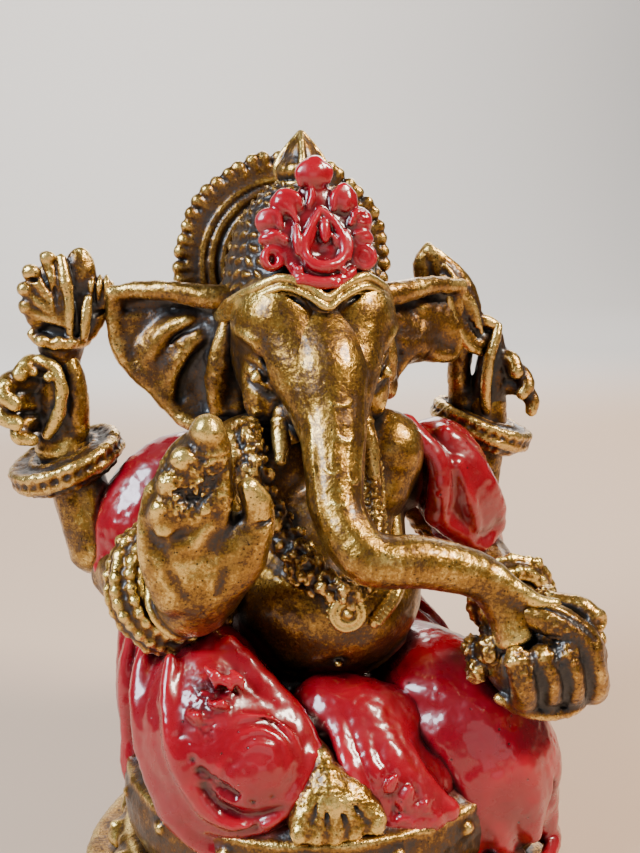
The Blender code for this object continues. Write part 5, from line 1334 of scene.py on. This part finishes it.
def sculpt_left_leg():
    hem = LEFT_HEM_HEIGHT - SEAT_TOP
    clay = Clay(F(-1, -51, hem - 7), F(48, 9, 28), 0.45)
    clay.add(limb(F, (17, -6, 8, 11.5), (22, -22, 8, 13.5), (27, -30, 4, 14.5), (28.5, -31, hem * 0.45, 14),
            (28.5, -31, hem + 8, 12.5)), 0)
    clay.add(Ball(F(21, -30, 4), (11, 12, 13)), 2.0)
    clay.add(Ball(F(20, -27, 13), (9, 10, 8)), 2.0)
    # a soft ridge runs over the knee and down the shin, with broad shallow folds beside it
    clay.add(Ball(F(29, -33, -2), (15.0, 13.6, 14)), 2.5)
    clay.add(Ball(F(25, -30, 6), (14.0, 12.5, 10)), 3.0)
    clay.add(limb(F, (13.0, -31.6, 15.4, 1.2), (19.6, -35.6, 14.6, 1.7), (26.0, -39.8, 10.4, 1.9),
            (30.6, -43.0, 4.4, 1.9), (33.2, -44.4, -3.0, 1.6), (34.2, -44.4, -11, 1.4)), 3.0)
    clay.carve(limb(F, (33.4, -39.2, 7.2, 0.6), (37.0, -40.8, 0.6, 1.0), (38.6, -41.4, -7, 0.8)), 3.0)
    for k, (x, y, top, r) in enumerate(((15, -42.0, 4, 1.3), (21.5, -44.4, 0, 1.2), (27.6, -45.4, -5, 1.1),
            (40.4, -38.0, -4, 1.5), (43.4, -29.6, -4, 1.4))):
        sway = 0.9 * math.sin(2.3 * k)
        clay.add(limb(F, (x - 0.8, y + 2.2, top, r * 0.7), (x + sway, y + 1.2, (top - 14) / 2, r * 1.2),
                (x + 0.6, y + 0.9, -14, r * 1.35), (x + sway, y + 1.2, hem + 1.5, r * 1.4)), 2.8)
    clay.add(limb(F, (14, -41.4, hem + 1, 1.5), (22, -45.0, hem + 0.2, 1.6), (30, -45.8, hem + 0.6, 1.6),
            (38, -42.6, hem, 1.6), (43, -36, hem + 0.5, 1.5), (44, -28, hem, 1.3)), 1.2)
    clay.carve(limb(F, (38.6, -39.4, 2.6, 0.35), (38.0, -41.0, 0.6, 0.5), (38.4, -41.6, -1.0, 0.35)), 0.5)
    clay.carve(limb(F, (10.6, -38.4, 10.6, 0.8), (15.0, -42.2, 5.0, 0.9), (17.4, -43.8, -2.0, 0.8)), 2.2)
    clay.keep(F(0, 0, hem - 4.4)[2])
    cast("left_leg", clay, "red_enamel", 0.20, polish=3, rough_spots=[(F(39, -38, 3), 3.0, 0.3)])


def sculpt_pleats():
    low, high = corners("wrap_pleats")
    clay = Clay(low - (9, 5, 5), high + (9, 6, 6), 0.42)
    clay.add(limb(F, (0, -24, 13, 5.0), (2, -32.4, 11, 6.8), (5, -38.2, 6, 7.4), (8.5, -42, -1, 6.6)), 0)
    for middle, radii in (((-3.4, -31, 10), (7.0, 7.5, 9.5)), ((13.0, -38.4, -1.0), (7.5, 6.5, 8.0)),
            ((8.0, -32.0, 9.0), (8.5, 7.0, 7.5)), ((2.0, -33.5, 14.0), (7.0, 5.5, 4.5))):
        clay.add(Ball(F(*middle), radii), 3.0)
    # glossy pleats fan down to a scalloped hem
    tops = (0.0, 0.13, 0.30, 0.44, 0.62, 0.78, 1.0)
    for k, s in enumerate(tops):
        drift = 0.5 * math.sin(3.7 * k)
        top = (-3.8 + 9.5 * s, -33.4 - 2.4 * math.sin(math.pi * s), 17.2 - 0.6 * s)
        mid = (-2.6 + 12.4 * s + drift, -41.8 - 3.0 * math.sin(math.pi * (0.2 + 0.7 * s)), 8.8 - 0.4 * s)
        end = (0.4 + 15.4 * s - drift, -46.0 - 2.2 * math.sin(math.pi * (0.15 + 0.7 * s)),
                -2.6 + 1.4 * s + drift)
        r = 1.0 + 0.35 * math.sin(5.1 * k + 1)
        knee = tuple((a + b) / 2 + lift for a, b, lift in zip(mid, end, (0.6 * math.sin(2.9 * k), -0.7, 0.8)))
        clay.add(limb(F, (*top, r * 0.7), (*mid, r * 1.1), (*knee, r * 0.9), (*end, r * 1.6)), 1.6)
        clay.add(Ball(F(end[0] + 0.3, end[1] + 0.4, end[2] - 0.5), (1.8, 1.7, 2.1)), 1.2)
    clay.add(limb(F, (2.0, -46.4, -2.6, 1.0), (7, -48.6, -1.0, 1.2), (12, -47.4, -1.4, 1.2),
            (15.6, -44.6, -0.6, 1.0)), 0.9)
    for x, y, z, r in ((7.2, -48.4, 3.4, 1.3), (10.2, -48.6, 0.6, 1.2), (4.6, -48.2, 6.4, 1.1)):
        clay.add(Ball(F(x, y, z), (r, 0.9, r * 1.9), (0, 25, 0)), 0.6)
    cast("wrap_pleats", clay, "red_enamel", 0.26, polish=2, rough_spots=[(F(9, -48, 0), 5.0, 0.3)])


def sculpt_hip_wrap():
    clay = Clay(F(-37, -26, -4), F(37, 30, 27), 0.6)
    clay.add(Ball(F(0, 1, 10), (34, 24, 12)), 0)
    clay.add(Ball(F(0, 8, 13), (28, 19, 15)), 2.5)
    for k in range(20):
        angle = math.radians(-30 + 240 * (k + 0.22 * math.sin(2.7 * k)) / 19)
        c, s = math.cos(angle), math.sin(angle)
        r = 1.4 + 0.4 * math.sin(3.3 * k)
        clay.add(limb(F, (26 * c, 8 + 17.5 * s, 21, r * 0.6),
                (32.4 * c, 4 + 22.4 * s, 12 + math.sin(2.1 * k), r),
                (31 * c, 2 + 22.6 * s, 3, r * 0.9)), 1.9)
    clay.keep(F(0, 0, -1.9)[2])
    cast("hip_wrap", clay, "red_enamel", 0.22, polish=2)


def sculpt_feet():
    low, high = corners("right_foot")
    clay = Clay(low - 3, high + (4, 4, 3), 0.34)
    clay.add(Rope(path(F, (-14, -33, 10, 4.5), (-8.5, -39.4, 7.6, 4.6),
            (-6.6, -44.0, 3.6, 5.0)), flat=(0, 1, 0), times=1.2), 0)
    clay.add(Ball(F(-5.6, -46.0, 1.0), (8.0, 4.4, 3.9), (0, -6, 0)), 2.0)
    clay.add(Ball(F(-5.8, -46.4, 2.4), (7.6, 3.6, 5.2)), 2.0)
    clay.add(limb(F, (-6.8, -43.0, 10.4, 1.2), (-6.4, -45.8, 7.4, 2.0), (-6.0, -47.4, 4.4, 2.0)), 2.0)
    # toes fan out from the instep
    for k in range(5):
        x = (-12.2, -9.2, -6.0, -2.6, 1.2)[k]
        r = (1.5, 1.6, 1.7, 1.8, 2.1)[k]
        z = (0.4, -0.2, -0.5, -0.3, 0.5)[k]
        clay.add(finger(F, (-6.6 + (x + 6) * 0.3, -45.0, 7.4, r * 0.6),
                (-6.2 + (x + 6) * 0.72, -47.4, 3.4, r * 0.85), (x, -48.8, z + 0.4, r),
                (x * 1.02, -49.6, z - 0.6, r * 0.9)), 1.8)
        if k:
            clay.carve(finger(F, (-6.4 + (x + 4) * 0.5, -48.6, 5.0, 0.2), (x - 1.7, -51.0, 1.2, 0.4),
                    (x - 1.8, -51.4, -0.8, 0.4)), 0.7)
    cast("right_foot", clay, "gold_paint", 0.20, grit=0.22)

    sole = LEFT_SOLE_HEIGHT - SEAT_TOP
    low, high = corners("left_foot")
    clay = Clay(low - (3, 4, 1), high + (3, 4, 4), 0.4)
    clay.add(Ball(F(28, -40, sole + 5.0), (6.4, 13, 4.8)), 0)
    clay.add(Ball(F(28, -47.4, sole + 4.0), (7.4, 7, 3.4)), 1.5)
    for k in range(5):
        x = 22.4 + 2.9 * k
        r = (1.9, 1.6, 1.5, 1.45, 1.35)[k]
        reach = (-54.0, -54.6, -54.2, -53.2, -51.6)[k]
        clay.add(finger(F, (27 + (x - 27) * 0.8, reach + 8, sole + 4.6, r * 0.8),
                (x, reach + 1.6, sole + 2.6, r)), 0.25)
        clay.add(Ball(F(x, reach + 0.2, sole + 3.3), (r * 0.6, 0.5, r * 0.4)), 0.12)
    clay.add(Torus(F(28, -36, sole + 6.4), (0, -1, 0.5), 6.2, 0.9), 0.3)
    clay.keep(F(0, 0, sole + 0.2)[2])
    cast("left_foot", clay, "gold_paint", 0.08)


# ---------------------------------------------------------------- seat, petals and plinth


class Oval:
    """A disc or torus stretched along Y."""

    def __init__(self, shape, middle, ratio):
        self.shape, self.middle, self.ratio = shape, np.asarray(middle, float), ratio
        self.low, self.high = shape.low.copy(), shape.high.copy()
        self.low[1] = self.middle[1] + (shape.low[1] - self.middle[1]) * ratio
        self.high[1] = self.middle[1] + (shape.high[1] - self.middle[1]) * ratio

    def distance(self, x, y, z):
        y = (y - np.float32(self.middle[1])) / np.float32(self.ratio) + np.float32(self.middle[1])
        return self.shape.distance(x, y, z) * np.float32(min(1.0, self.ratio))


def footprint(name):
    """The corners, middle and half sizes of a flat piece, and its depth over its width."""
    low, high = corners(name)
    half = (high - low) / 2
    return low, high, (low + high) / 2, half, half[1] / half[0]


PETAL_COUNT = 22


def sculpt_seat():
    low, high, middle, half, ratio = footprint("seat_cushion")
    clay = Clay(low - 2.5, high + 2.5, 0.7)
    clay.add(Oval(Disc(middle, UP, half[0], half[2], 6.5), middle, ratio), 0)
    for z, radius, tube in ((5.4, 0.965, 1.0), (-6.6, 0.93, 1.3)):
        at = middle + (0, 0, z)
        clay.add(Oval(Torus(at, UP, half[0] * radius, tube), middle, ratio), 0.5)
    for i in range(16):
        angle = 2 * math.pi * (i + 0.3) / 16
        c, s = math.cos(angle), math.sin(angle)
        clay.add(Ball(middle + (half[0] * 0.99 * c, half[1] * 0.99 * s, 2.9), (1.5, 1.5, 1.3)), 0.5)
    cast("seat_cushion", clay, "dark_gold_paint", 0.25, grit=0.12)


def sculpt_petals():
    low, high, middle, half, ratio = footprint("lotus_petals")
    clay = Clay(low - 1.5, high + 1.5, 0.55)
    clay.add(Oval(Disc(middle, UP, half[0] - 3.2, half[2], 0.8), middle, ratio), 0)
    for i in range(PETAL_COUNT):
        angle = 2 * math.pi * (i + 0.5) / PETAL_COUNT
        c, s = math.cos(angle), math.sin(angle)
        at = middle + ((half[0] - 3.6) * c, (half[1] - 3.6) * s, 0)
        heading = math.degrees(math.atan2(s / ratio, c))
        clay.add(Ball(at + (0, 0, -0.4), (3.9, 4.9, 2.6), (0, 0, heading)), 0.5)
        tip = middle + ((half[0] - 0.9) * c, (half[1] - 0.9) * s, 1.6)
        clay.add(Rope([(*(middle + ((half[0] - 5) * c, (half[1] - 5) * s, 1.9)), 0.5), (*tip, 0.85)]), 0.5)
        between = 2 * math.pi * i / PETAL_COUNT
        c, s = math.cos(between), math.sin(between)
        clay.add(Ball(middle + ((half[0] - 4.4) * c, (half[1] - 4.4) * s, 0.9), (2.6, 3.0, 1.9),
                (0, 0, math.degrees(between))), 0.3)
    clay.keep(low[2], below=high[2] + 0.4)
    cast("lotus_petals", clay, "gold_paint", 0.12)


def sculpt_plinth():
    low, high, middle, half, ratio = footprint("plinth")
    clay = Clay(low - 1.5, high + 1.5, 0.7)
    clay.add(Oval(Disc(middle, UP, half[0], half[2], 1.0), middle, ratio), 0)
    clay.add(Oval(Torus(middle + (0, 0, half[2] - 1.6), UP, half[0] - 0.9, 1.3), middle, ratio), 0.4)
    clay.add(Oval(Torus(middle + (0, 0, -half[2] + 1.5), UP, half[0] - 0.6, 1.3), middle, ratio), 0.4)
    clay.carve(Oval(Torus(middle + (0, 0, 0.1), UP, half[0] + 0.3, 0.9), middle, ratio), 0.5)
    clay.keep(low[2] + 0.1)
    cast("plinth", clay, "dark_gold_paint", 0.14)

    low, high, middle, half, ratio = footprint("felt_pad")
    clay = Clay(low - 1, high + 1, 0.4)
    clay.add(Oval(Disc(middle, UP, half[0], half[2], 0.3), middle, ratio), 0)
    cast("felt_pad", clay, "felt", 0.03)


# ---------------------------------------------------------------- sculpt everything

sculpt_halo()
sculpt_crown()
sculpt_band()
sculpt_crest()
sculpt_head()
sculpt_trunk()
sculpt_tusks()
sculpt_ear(-1, "right_ear", RIGHT_EAR)
sculpt_ear(1, "left_ear", LEFT_EAR)
sculpt_torso()
sculpt_garland()
sculpt_thread()
sculpt_pendant()
sculpt_shawls()
sculpt_arm("upper_right", F(-22, 8, 49), F(-42.5, 7, 36), F(-48.5, 11, 59), 5.0)
sculpt_arm("upper_left", F(22, 8, 49), F(41.5, 9, 38), F(46, 12, 61), 5.0)
sculpt_arm("lower_right", F(-23, 3, 48), F(-38, 1, 32), F(-28, -24, 37), 7.0)
sculpt_arm("lower_left", F(23, 3, 48), F(39, 1, 31), F(38, -26, 27.5), 4.6)
sculpt_bangle("upper_right_bangle", F(-48, 11, 54), (-0.36, -0.1, 1.0))
sculpt_bangle("upper_left_bangle", F(45.2, 12, 56.5), (0.36, -0.1, 1.0))
sculpt_bracelet("lower_right_bracelet", F(-29.6, -20, 36.2), (12, -25, 13), 9.4, 3.4, 4, 1.18)
sculpt_bracelet("lower_left_bracelet", F(38.1, -22.2, 28.0), (-1, -27, -3.5), 6.3, 2.4, 3, 1.05)
sculpt_upper_right_hand()
sculpt_upper_left_hand()
sculpt_lotus()
sculpt_conch()
sculpt_blessing_hand()
sculpt_offering_hand()
sculpt_sweets()
sculpt_hip_wrap()
sculpt_right_leg()
sculpt_left_leg()
sculpt_pleats()
sculpt_feet()
sculpt_seat()
sculpt_petals()
sculpt_plinth()

# ---------------------------------------------------------------- materials


class Paint:
    """Small helper for node materials."""

    def __init__(self, name):
        self.material = bpy.data.materials.new(name)
        self.material.use_nodes = True
        self.nodes = self.material.node_tree.nodes
        self.links = self.material.node_tree.links
        self.shader = self.nodes["Principled BSDF"]

    def put(self, socket, value):
        if hasattr(value, "links"):
            self.links.new(value, socket)
        else:
            socket.default_value = value

    def attribute(self, name):
        node = self.nodes.new("ShaderNodeAttribute")
        node.attribute_name = name
        return node.outputs["Fac"]

    def math(self, operation, a, b=0.0, clamp=False):
        node = self.nodes.new("ShaderNodeMath")
        node.operation = operation
        node.use_clamp = clamp
        self.put(node.inputs[0], a)
        self.put(node.inputs[1], b)
        return node.outputs[0]

    def noise(self, scale, detail=4.0, rough=0.55, stretch=None):
        place = self.nodes.new("ShaderNodeTexCoord").outputs["Object"]
        if stretch:
            mapping = self.nodes.new("ShaderNodeMapping")
            mapping.inputs["Scale"].default_value = stretch
            self.links.new(place, mapping.inputs["Vector"])
            place = mapping.outputs[0]
        node = self.nodes.new("ShaderNodeTexNoise")
        node.inputs["Scale"].default_value = scale
        node.inputs["Detail"].default_value = detail
        node.inputs["Roughness"].default_value = rough
        self.links.new(place, node.inputs["Vector"])
        return node.outputs["Fac"]

    def spots(self, scale):
        place = self.nodes.new("ShaderNodeTexCoord").outputs["Object"]
        node = self.nodes.new("ShaderNodeTexVoronoi")
        node.inputs["Scale"].default_value = scale
        self.links.new(place, node.inputs["Vector"])
        return node.outputs["Distance"]

    def ramp(self, value, stops):
        node = self.nodes.new("ShaderNodeValToRGB")
        node.color_ramp.interpolation = "EASE"
        elements = node.color_ramp.elements
        while len(elements) < len(stops):
            elements.new(0.5)
        for element, (at, colour) in zip(elements, stops):
            element.position = at
            element.color = (*colour, 1.0) if len(colour) == 3 else colour
        self.put(node.inputs[0], value)
        return node.outputs[0]

    def fade(self, value, low, high, to_low=0.0, to_high=1.0):
        node = self.nodes.new("ShaderNodeMapRange")
        node.interpolation_type = "SMOOTHSTEP"
        for socket, number in zip(("From Min", "From Max", "To Min", "To Max"), (low, high, to_low, to_high)):
            node.inputs[socket].default_value = number
        self.put(node.inputs["Value"], value)
        return node.outputs["Result"]

    def mix(self, share, a, b):
        node = self.nodes.new("ShaderNodeMix")
        node.data_type = "RGBA"
        self.put(node.inputs["Factor"], share)
        inputs = [s for s in node.inputs if s.type == "RGBA"]
        self.put(inputs[0], a)
        self.put(inputs[1], b)
        return [s for s in node.outputs if s.type == "RGBA"][0]

    def bump(self, layers):
        """layers are (height, strength, distance in metres)."""
        normal = None
        for height, strength, distance in layers:
            node = self.nodes.new("ShaderNodeBump")
            node.inputs["Strength"].default_value = strength
            node.inputs["Distance"].default_value = distance
            self.put(node.inputs["Height"], height)
            if normal is not None:
                self.links.new(normal, node.inputs["Normal"])
            normal = node.outputs["Normal"]
        self.links.new(normal, self.shader.inputs["Normal"])

    def set(self, name, value):
        self.put(self.shader.inputs[name], value)


# from the wash and painted shade in the hollows to the rubbed ridges
GOLD_STOPS = [(0.0, (0.004, 0.002, 0.0014)), (0.22, (0.021, 0.009, 0.0036)), (0.45, (0.098, 0.043, 0.009)),
        (0.68, (0.31, 0.163, 0.026)), (1.0, (0.76, 0.53, 0.15))]
# the red from painted shade in the folds to a painted highlight on the ridges
RED_SHADING_STOPS = [(0.0, (0.010, 0.0004, 0.0012)), (0.30, (0.065, 0.0005, 0.003)), (0.60, (0.22, 0.0010, 0.008)),
        (1.0, (0.35, 0.0015, 0.012))]
DARK_TINT = (0.88, 0.84, 0.90)


def gold(name, wear_bias, tint=(1.0, 1.0, 1.0)):
    """Antique gold: metal paint rubbed bright on the ridges, over a dark wash that stays in the hollows, with
    painted shade where other parts crowd it.
    """
    p = Paint(name)
    ridge = p.math("MULTIPLY", p.attribute("fine"), 1.5)
    form = p.math("MULTIPLY", p.attribute("broad"), 0.55)
    # painted shade between parts, stronger where other parts crowd the surface
    painted_shade = p.math("MULTIPLY", p.attribute("occlusion_shade"), -1.35)
    patch = p.math("MULTIPLY", p.math("SUBTRACT", p.noise(190, 5, 0.62), 0.5), 1.1)
    grain = p.math("MULTIPLY", p.math("SUBTRACT", p.noise(1700, 4, 0.7), 0.5), 1.0)
    wear_and_shade = p.math("ADD", p.math("ADD", ridge, form), p.math("ADD", painted_shade, wear_bias))
    wear_and_shade = p.math("ADD", wear_and_shade, p.math("ADD", patch, grain), clamp=True)
    colour = p.ramp(wear_and_shade, [(at, tuple(c * t for c, t in zip(rgb, tint))) for at, rgb in GOLD_STOPS])
    red = p.fade(p.math("ADD", p.attribute("spill"), p.math("MULTIPLY", patch, 0.3)), 0.10, 0.42, 0.0, 0.7)
    colour = p.mix(red, colour, (0.13, 0.010, 0.004, 1.0))
    speck = p.fade(p.spots(1000), 0.12, 0.22, 1.0, 0.0)
    speck = p.math("MULTIPLY", speck, p.fade(p.noise(300, 2), 0.38, 0.54))
    colour = p.mix(p.math("MULTIPLY", speck, 0.9), colour, (0.005, 0.003, 0.002, 1.0))
    p.set("Base Color", colour)
    p.set("Metallic", p.fade(wear_and_shade, 0.15, 0.55, 0.10, 0.90))
    rough = p.math("ADD", p.fade(wear_and_shade, 0.1, 0.85, 0.42, 0.22), p.math("MULTIPLY", p.noise(420, 3), 0.10))
    p.set("Roughness", rough)
    p.set("Coat Weight", 0.35)
    p.set("Coat Roughness", 0.14)
    p.bump([(p.noise(330, 4, 0.6), 0.5, 0.0007), (p.noise(1300, 3, 0.7), 0.6, 0.0002)])
    return p.material


def red_enamel(name):
    """Thick glossy enamel with brush marks and pinholes, painted darker in the folds and between parts as
    shade, and lighter on the ridges as a painted highlight.
    """
    p = Paint(name)
    # painted highlight on the ridges and painted shade in the folds and where other parts crowd the surface,
    # over a random tone
    form = p.math("MULTIPLY", p.attribute("broad"), 0.32)
    ridge = p.math("MULTIPLY", p.attribute("fine"), 1.0)
    painted_shade = p.math("MULTIPLY", p.attribute("occlusion_shade"), -1.05)
    patch = p.math("MULTIPLY", p.math("SUBTRACT", p.noise(120, 4, 0.55), 0.5), 0.45)
    painted_shading_and_tone = p.math("ADD", p.math("ADD", form, ridge), p.math("ADD", painted_shade, 0.60))
    painted_shading_and_tone = p.math("ADD", painted_shading_and_tone, patch, clamp=True)
    colour = p.ramp(painted_shading_and_tone, RED_SHADING_STOPS)
    pits = p.math("MULTIPLY", p.fade(p.spots(420), 0.07, 0.12, 1.0, 0.0), p.fade(p.noise(110, 2), 0.52, 0.6))
    colour = p.mix(p.math("MULTIPLY", pits, 0.8), colour, (0.015, 0.001, 0.002, 1.0))
    p.set("Base Color", colour)
    p.set("Roughness", p.fade(p.noise(200, 4), 0.3, 0.7, 0.20, 0.36))
    p.set("Coat Weight", 0.7)
    p.set("Coat Roughness", 0.05)
    brush = p.noise(260, 3, 0.6, (1.0, 1.0, 0.16))
    hole = p.math("MULTIPLY", pits, -1.0)
    p.bump([(p.noise(150, 3, 0.5), 0.5, 0.0009), (brush, 0.3, 0.0003), (hole, 0.8, 0.0004)])
    return p.material


def felt(name):
    p = Paint(name)
    fuzz = p.noise(2600, 5, 0.75)
    p.set("Base Color", p.ramp(fuzz, [(0.3, (0.010, 0.022, 0.014)), (0.7, (0.045, 0.085, 0.055))]))
    p.set("Roughness", 0.95)
    p.set("Sheen Weight", 0.6)
    p.bump([(fuzz, 0.8, 0.0003)])
    return p.material


finishes = {"gold_paint": gold("antique_gold", 0.45), "dark_gold_paint": gold("dark_antique_gold", 0.31,
        DARK_TINT), "red_enamel": red_enamel("red_gloss_enamel"), "felt": felt("green_felt"),}


# ---------------------------------------------------------------- meshes in place of the CAD nodes


def put_in_place(name, verts, quads, fine, broad, finish, occlusion_field, red_field):
    mesh = bpy.data.meshes.new(name + "_casting")
    mesh.vertices.add(len(verts))
    mesh.vertices.foreach_set("co", (verts * MM).astype(np.float32).ravel())
    mesh.loops.add(quads.size)
    mesh.loops.foreach_set("vertex_index", quads.astype(np.int32).ravel())
    mesh.polygons.add(len(quads))
    mesh.polygons.foreach_set("loop_start", np.arange(0, quads.size, 4, dtype=np.int32))
    mesh.update(calc_edges=True)
    mesh.validate()
    mesh.shade_smooth()
    normals = vertex_normals(verts, quads)
    # painted shade: how hemmed in by other parts each vertex is, read a little off the surface; the paints
    # darken with it
    occlusion_shade = interpolated(occlusion_field, CROWD_LOW, CROWD_CELL, verts + normals * SHADE_REACH)
    occlusion_shade = np.clip(occlusion_shade - UNSHADED_SHARE, 0, 1) * SHADE_GAIN
    spill = interpolated(red_field, CROWD_LOW, CROWD_CELL, verts + normals * SPILL_REACH)
    for label, values in (("fine", fine), ("broad", broad), ("occlusion_shade", occlusion_shade), ("spill", spill)):
        attribute = mesh.attributes.new(label, "FLOAT", "POINT")
        attribute.data.foreach_set("value", values.astype(np.float32))
    mesh.materials.append(finishes[finish])
    obj = bpy.data.objects.new(name + "_casting", mesh)
    bpy.context.scene.collection.objects.link(obj)
    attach(obj, "root")
    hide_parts(name)


# the blurred fill that the painted shade between parts is read from
occlusion_field = blurred(filled, 2)
red_field = blurred(red_filled, 1)
for piece in waiting:
    put_in_place(*piece, occlusion_field, red_field)

# ---------------------------------------------------------------- floor and light


def floor_sheet():
    """A pale floor that curves up far behind the object."""
    back, rise, radius = 1.6, 2.4, 0.5
    profile = [(-2.5, 0.0), (back - radius, 0.0)]
    for i in range(1, 12):
        angle = math.radians(90 * i / 12)
        profile.append((back - radius + radius * math.sin(angle), radius - radius * math.cos(angle)))
    profile += [(back, radius), (back, rise)]
    verts = [(x, y, z) for y, z in profile for x in (-3.0, 3.0)]
    faces = [(2 * i, 2 * i + 1, 2 * i + 3, 2 * i + 2) for i in range(len(profile) - 1)]
    mesh = bpy.data.meshes.new("floor")
    mesh.from_pydata(verts, [], faces)
    mesh.shade_smooth()
    paint = Paint("pale_floor")
    place = paint.nodes.new("ShaderNodeTexCoord").outputs["Object"]
    split = paint.nodes.new("ShaderNodeSeparateXYZ")
    paint.links.new(place, split.inputs[0])
    far = paint.fade(split.outputs["Y"], 0.35, 0.75)
    paint.set("Base Color", paint.mix(far, (0.56, 0.40, 0.29, 1.0), (0.72, 0.71, 0.70, 1.0)))
    paint.set("Roughness", 0.7)
    mesh.materials.append(paint.material)
    floor = bpy.data.objects.new("floor", mesh)
    bpy.context.scene.collection.objects.link(floor)


def area_light(name, place, size, power, colour, target):
    data = bpy.data.lights.new(name, "AREA")
    data.shape = "RECTANGLE"
    data.size, data.size_y = size
    data.energy = power
    data.color = colour
    light = bpy.data.objects.new(name, data)
    bpy.context.scene.collection.objects.link(light)
    light.location = place
    light.rotation_euler = (Vector(target) - Vector(place)).to_track_quat("-Z", "Y").to_euler()


floor_sheet()
aim = Vector(F(0, -10, 45)) * MM
for label, offset, size, power, colour in (
        ("window", (-0.55, -0.20, 0.46), (0.28, 0.40), 12.0, (0.74, 0.86, 1.0)),
        ("key", (0.40, -0.26, 0.50), (0.16, 0.16), 8.0, (1.0, 0.88, 0.72)),
        ("fill", (0.05, -0.8, 0.15), (0.5, 0.4), 0.55, (1.0, 0.95, 0.90)),
        ("back", (0.25, 0.55, 0.35), (0.5, 0.3), 3.0, (1.0, 0.95, 0.9))):
    area_light(label, aim + Vector(offset), size, power, colour, aim)
area_light("backdrop", aim + Vector((0.1, 0.9, 0.9)), (1.6, 0.8), 22.0, (1.0, 0.93, 0.86),
        aim + Vector((0.3, 1.6, 0.1)))
world = bpy.data.worlds.new("room")
world.use_nodes = True
world.node_tree.nodes["Background"].inputs["Color"].default_value = (0.84, 0.80, 0.76, 1.0)
world.node_tree.nodes["Background"].inputs["Strength"].default_value = 0.09
bpy.context.scene.world = world
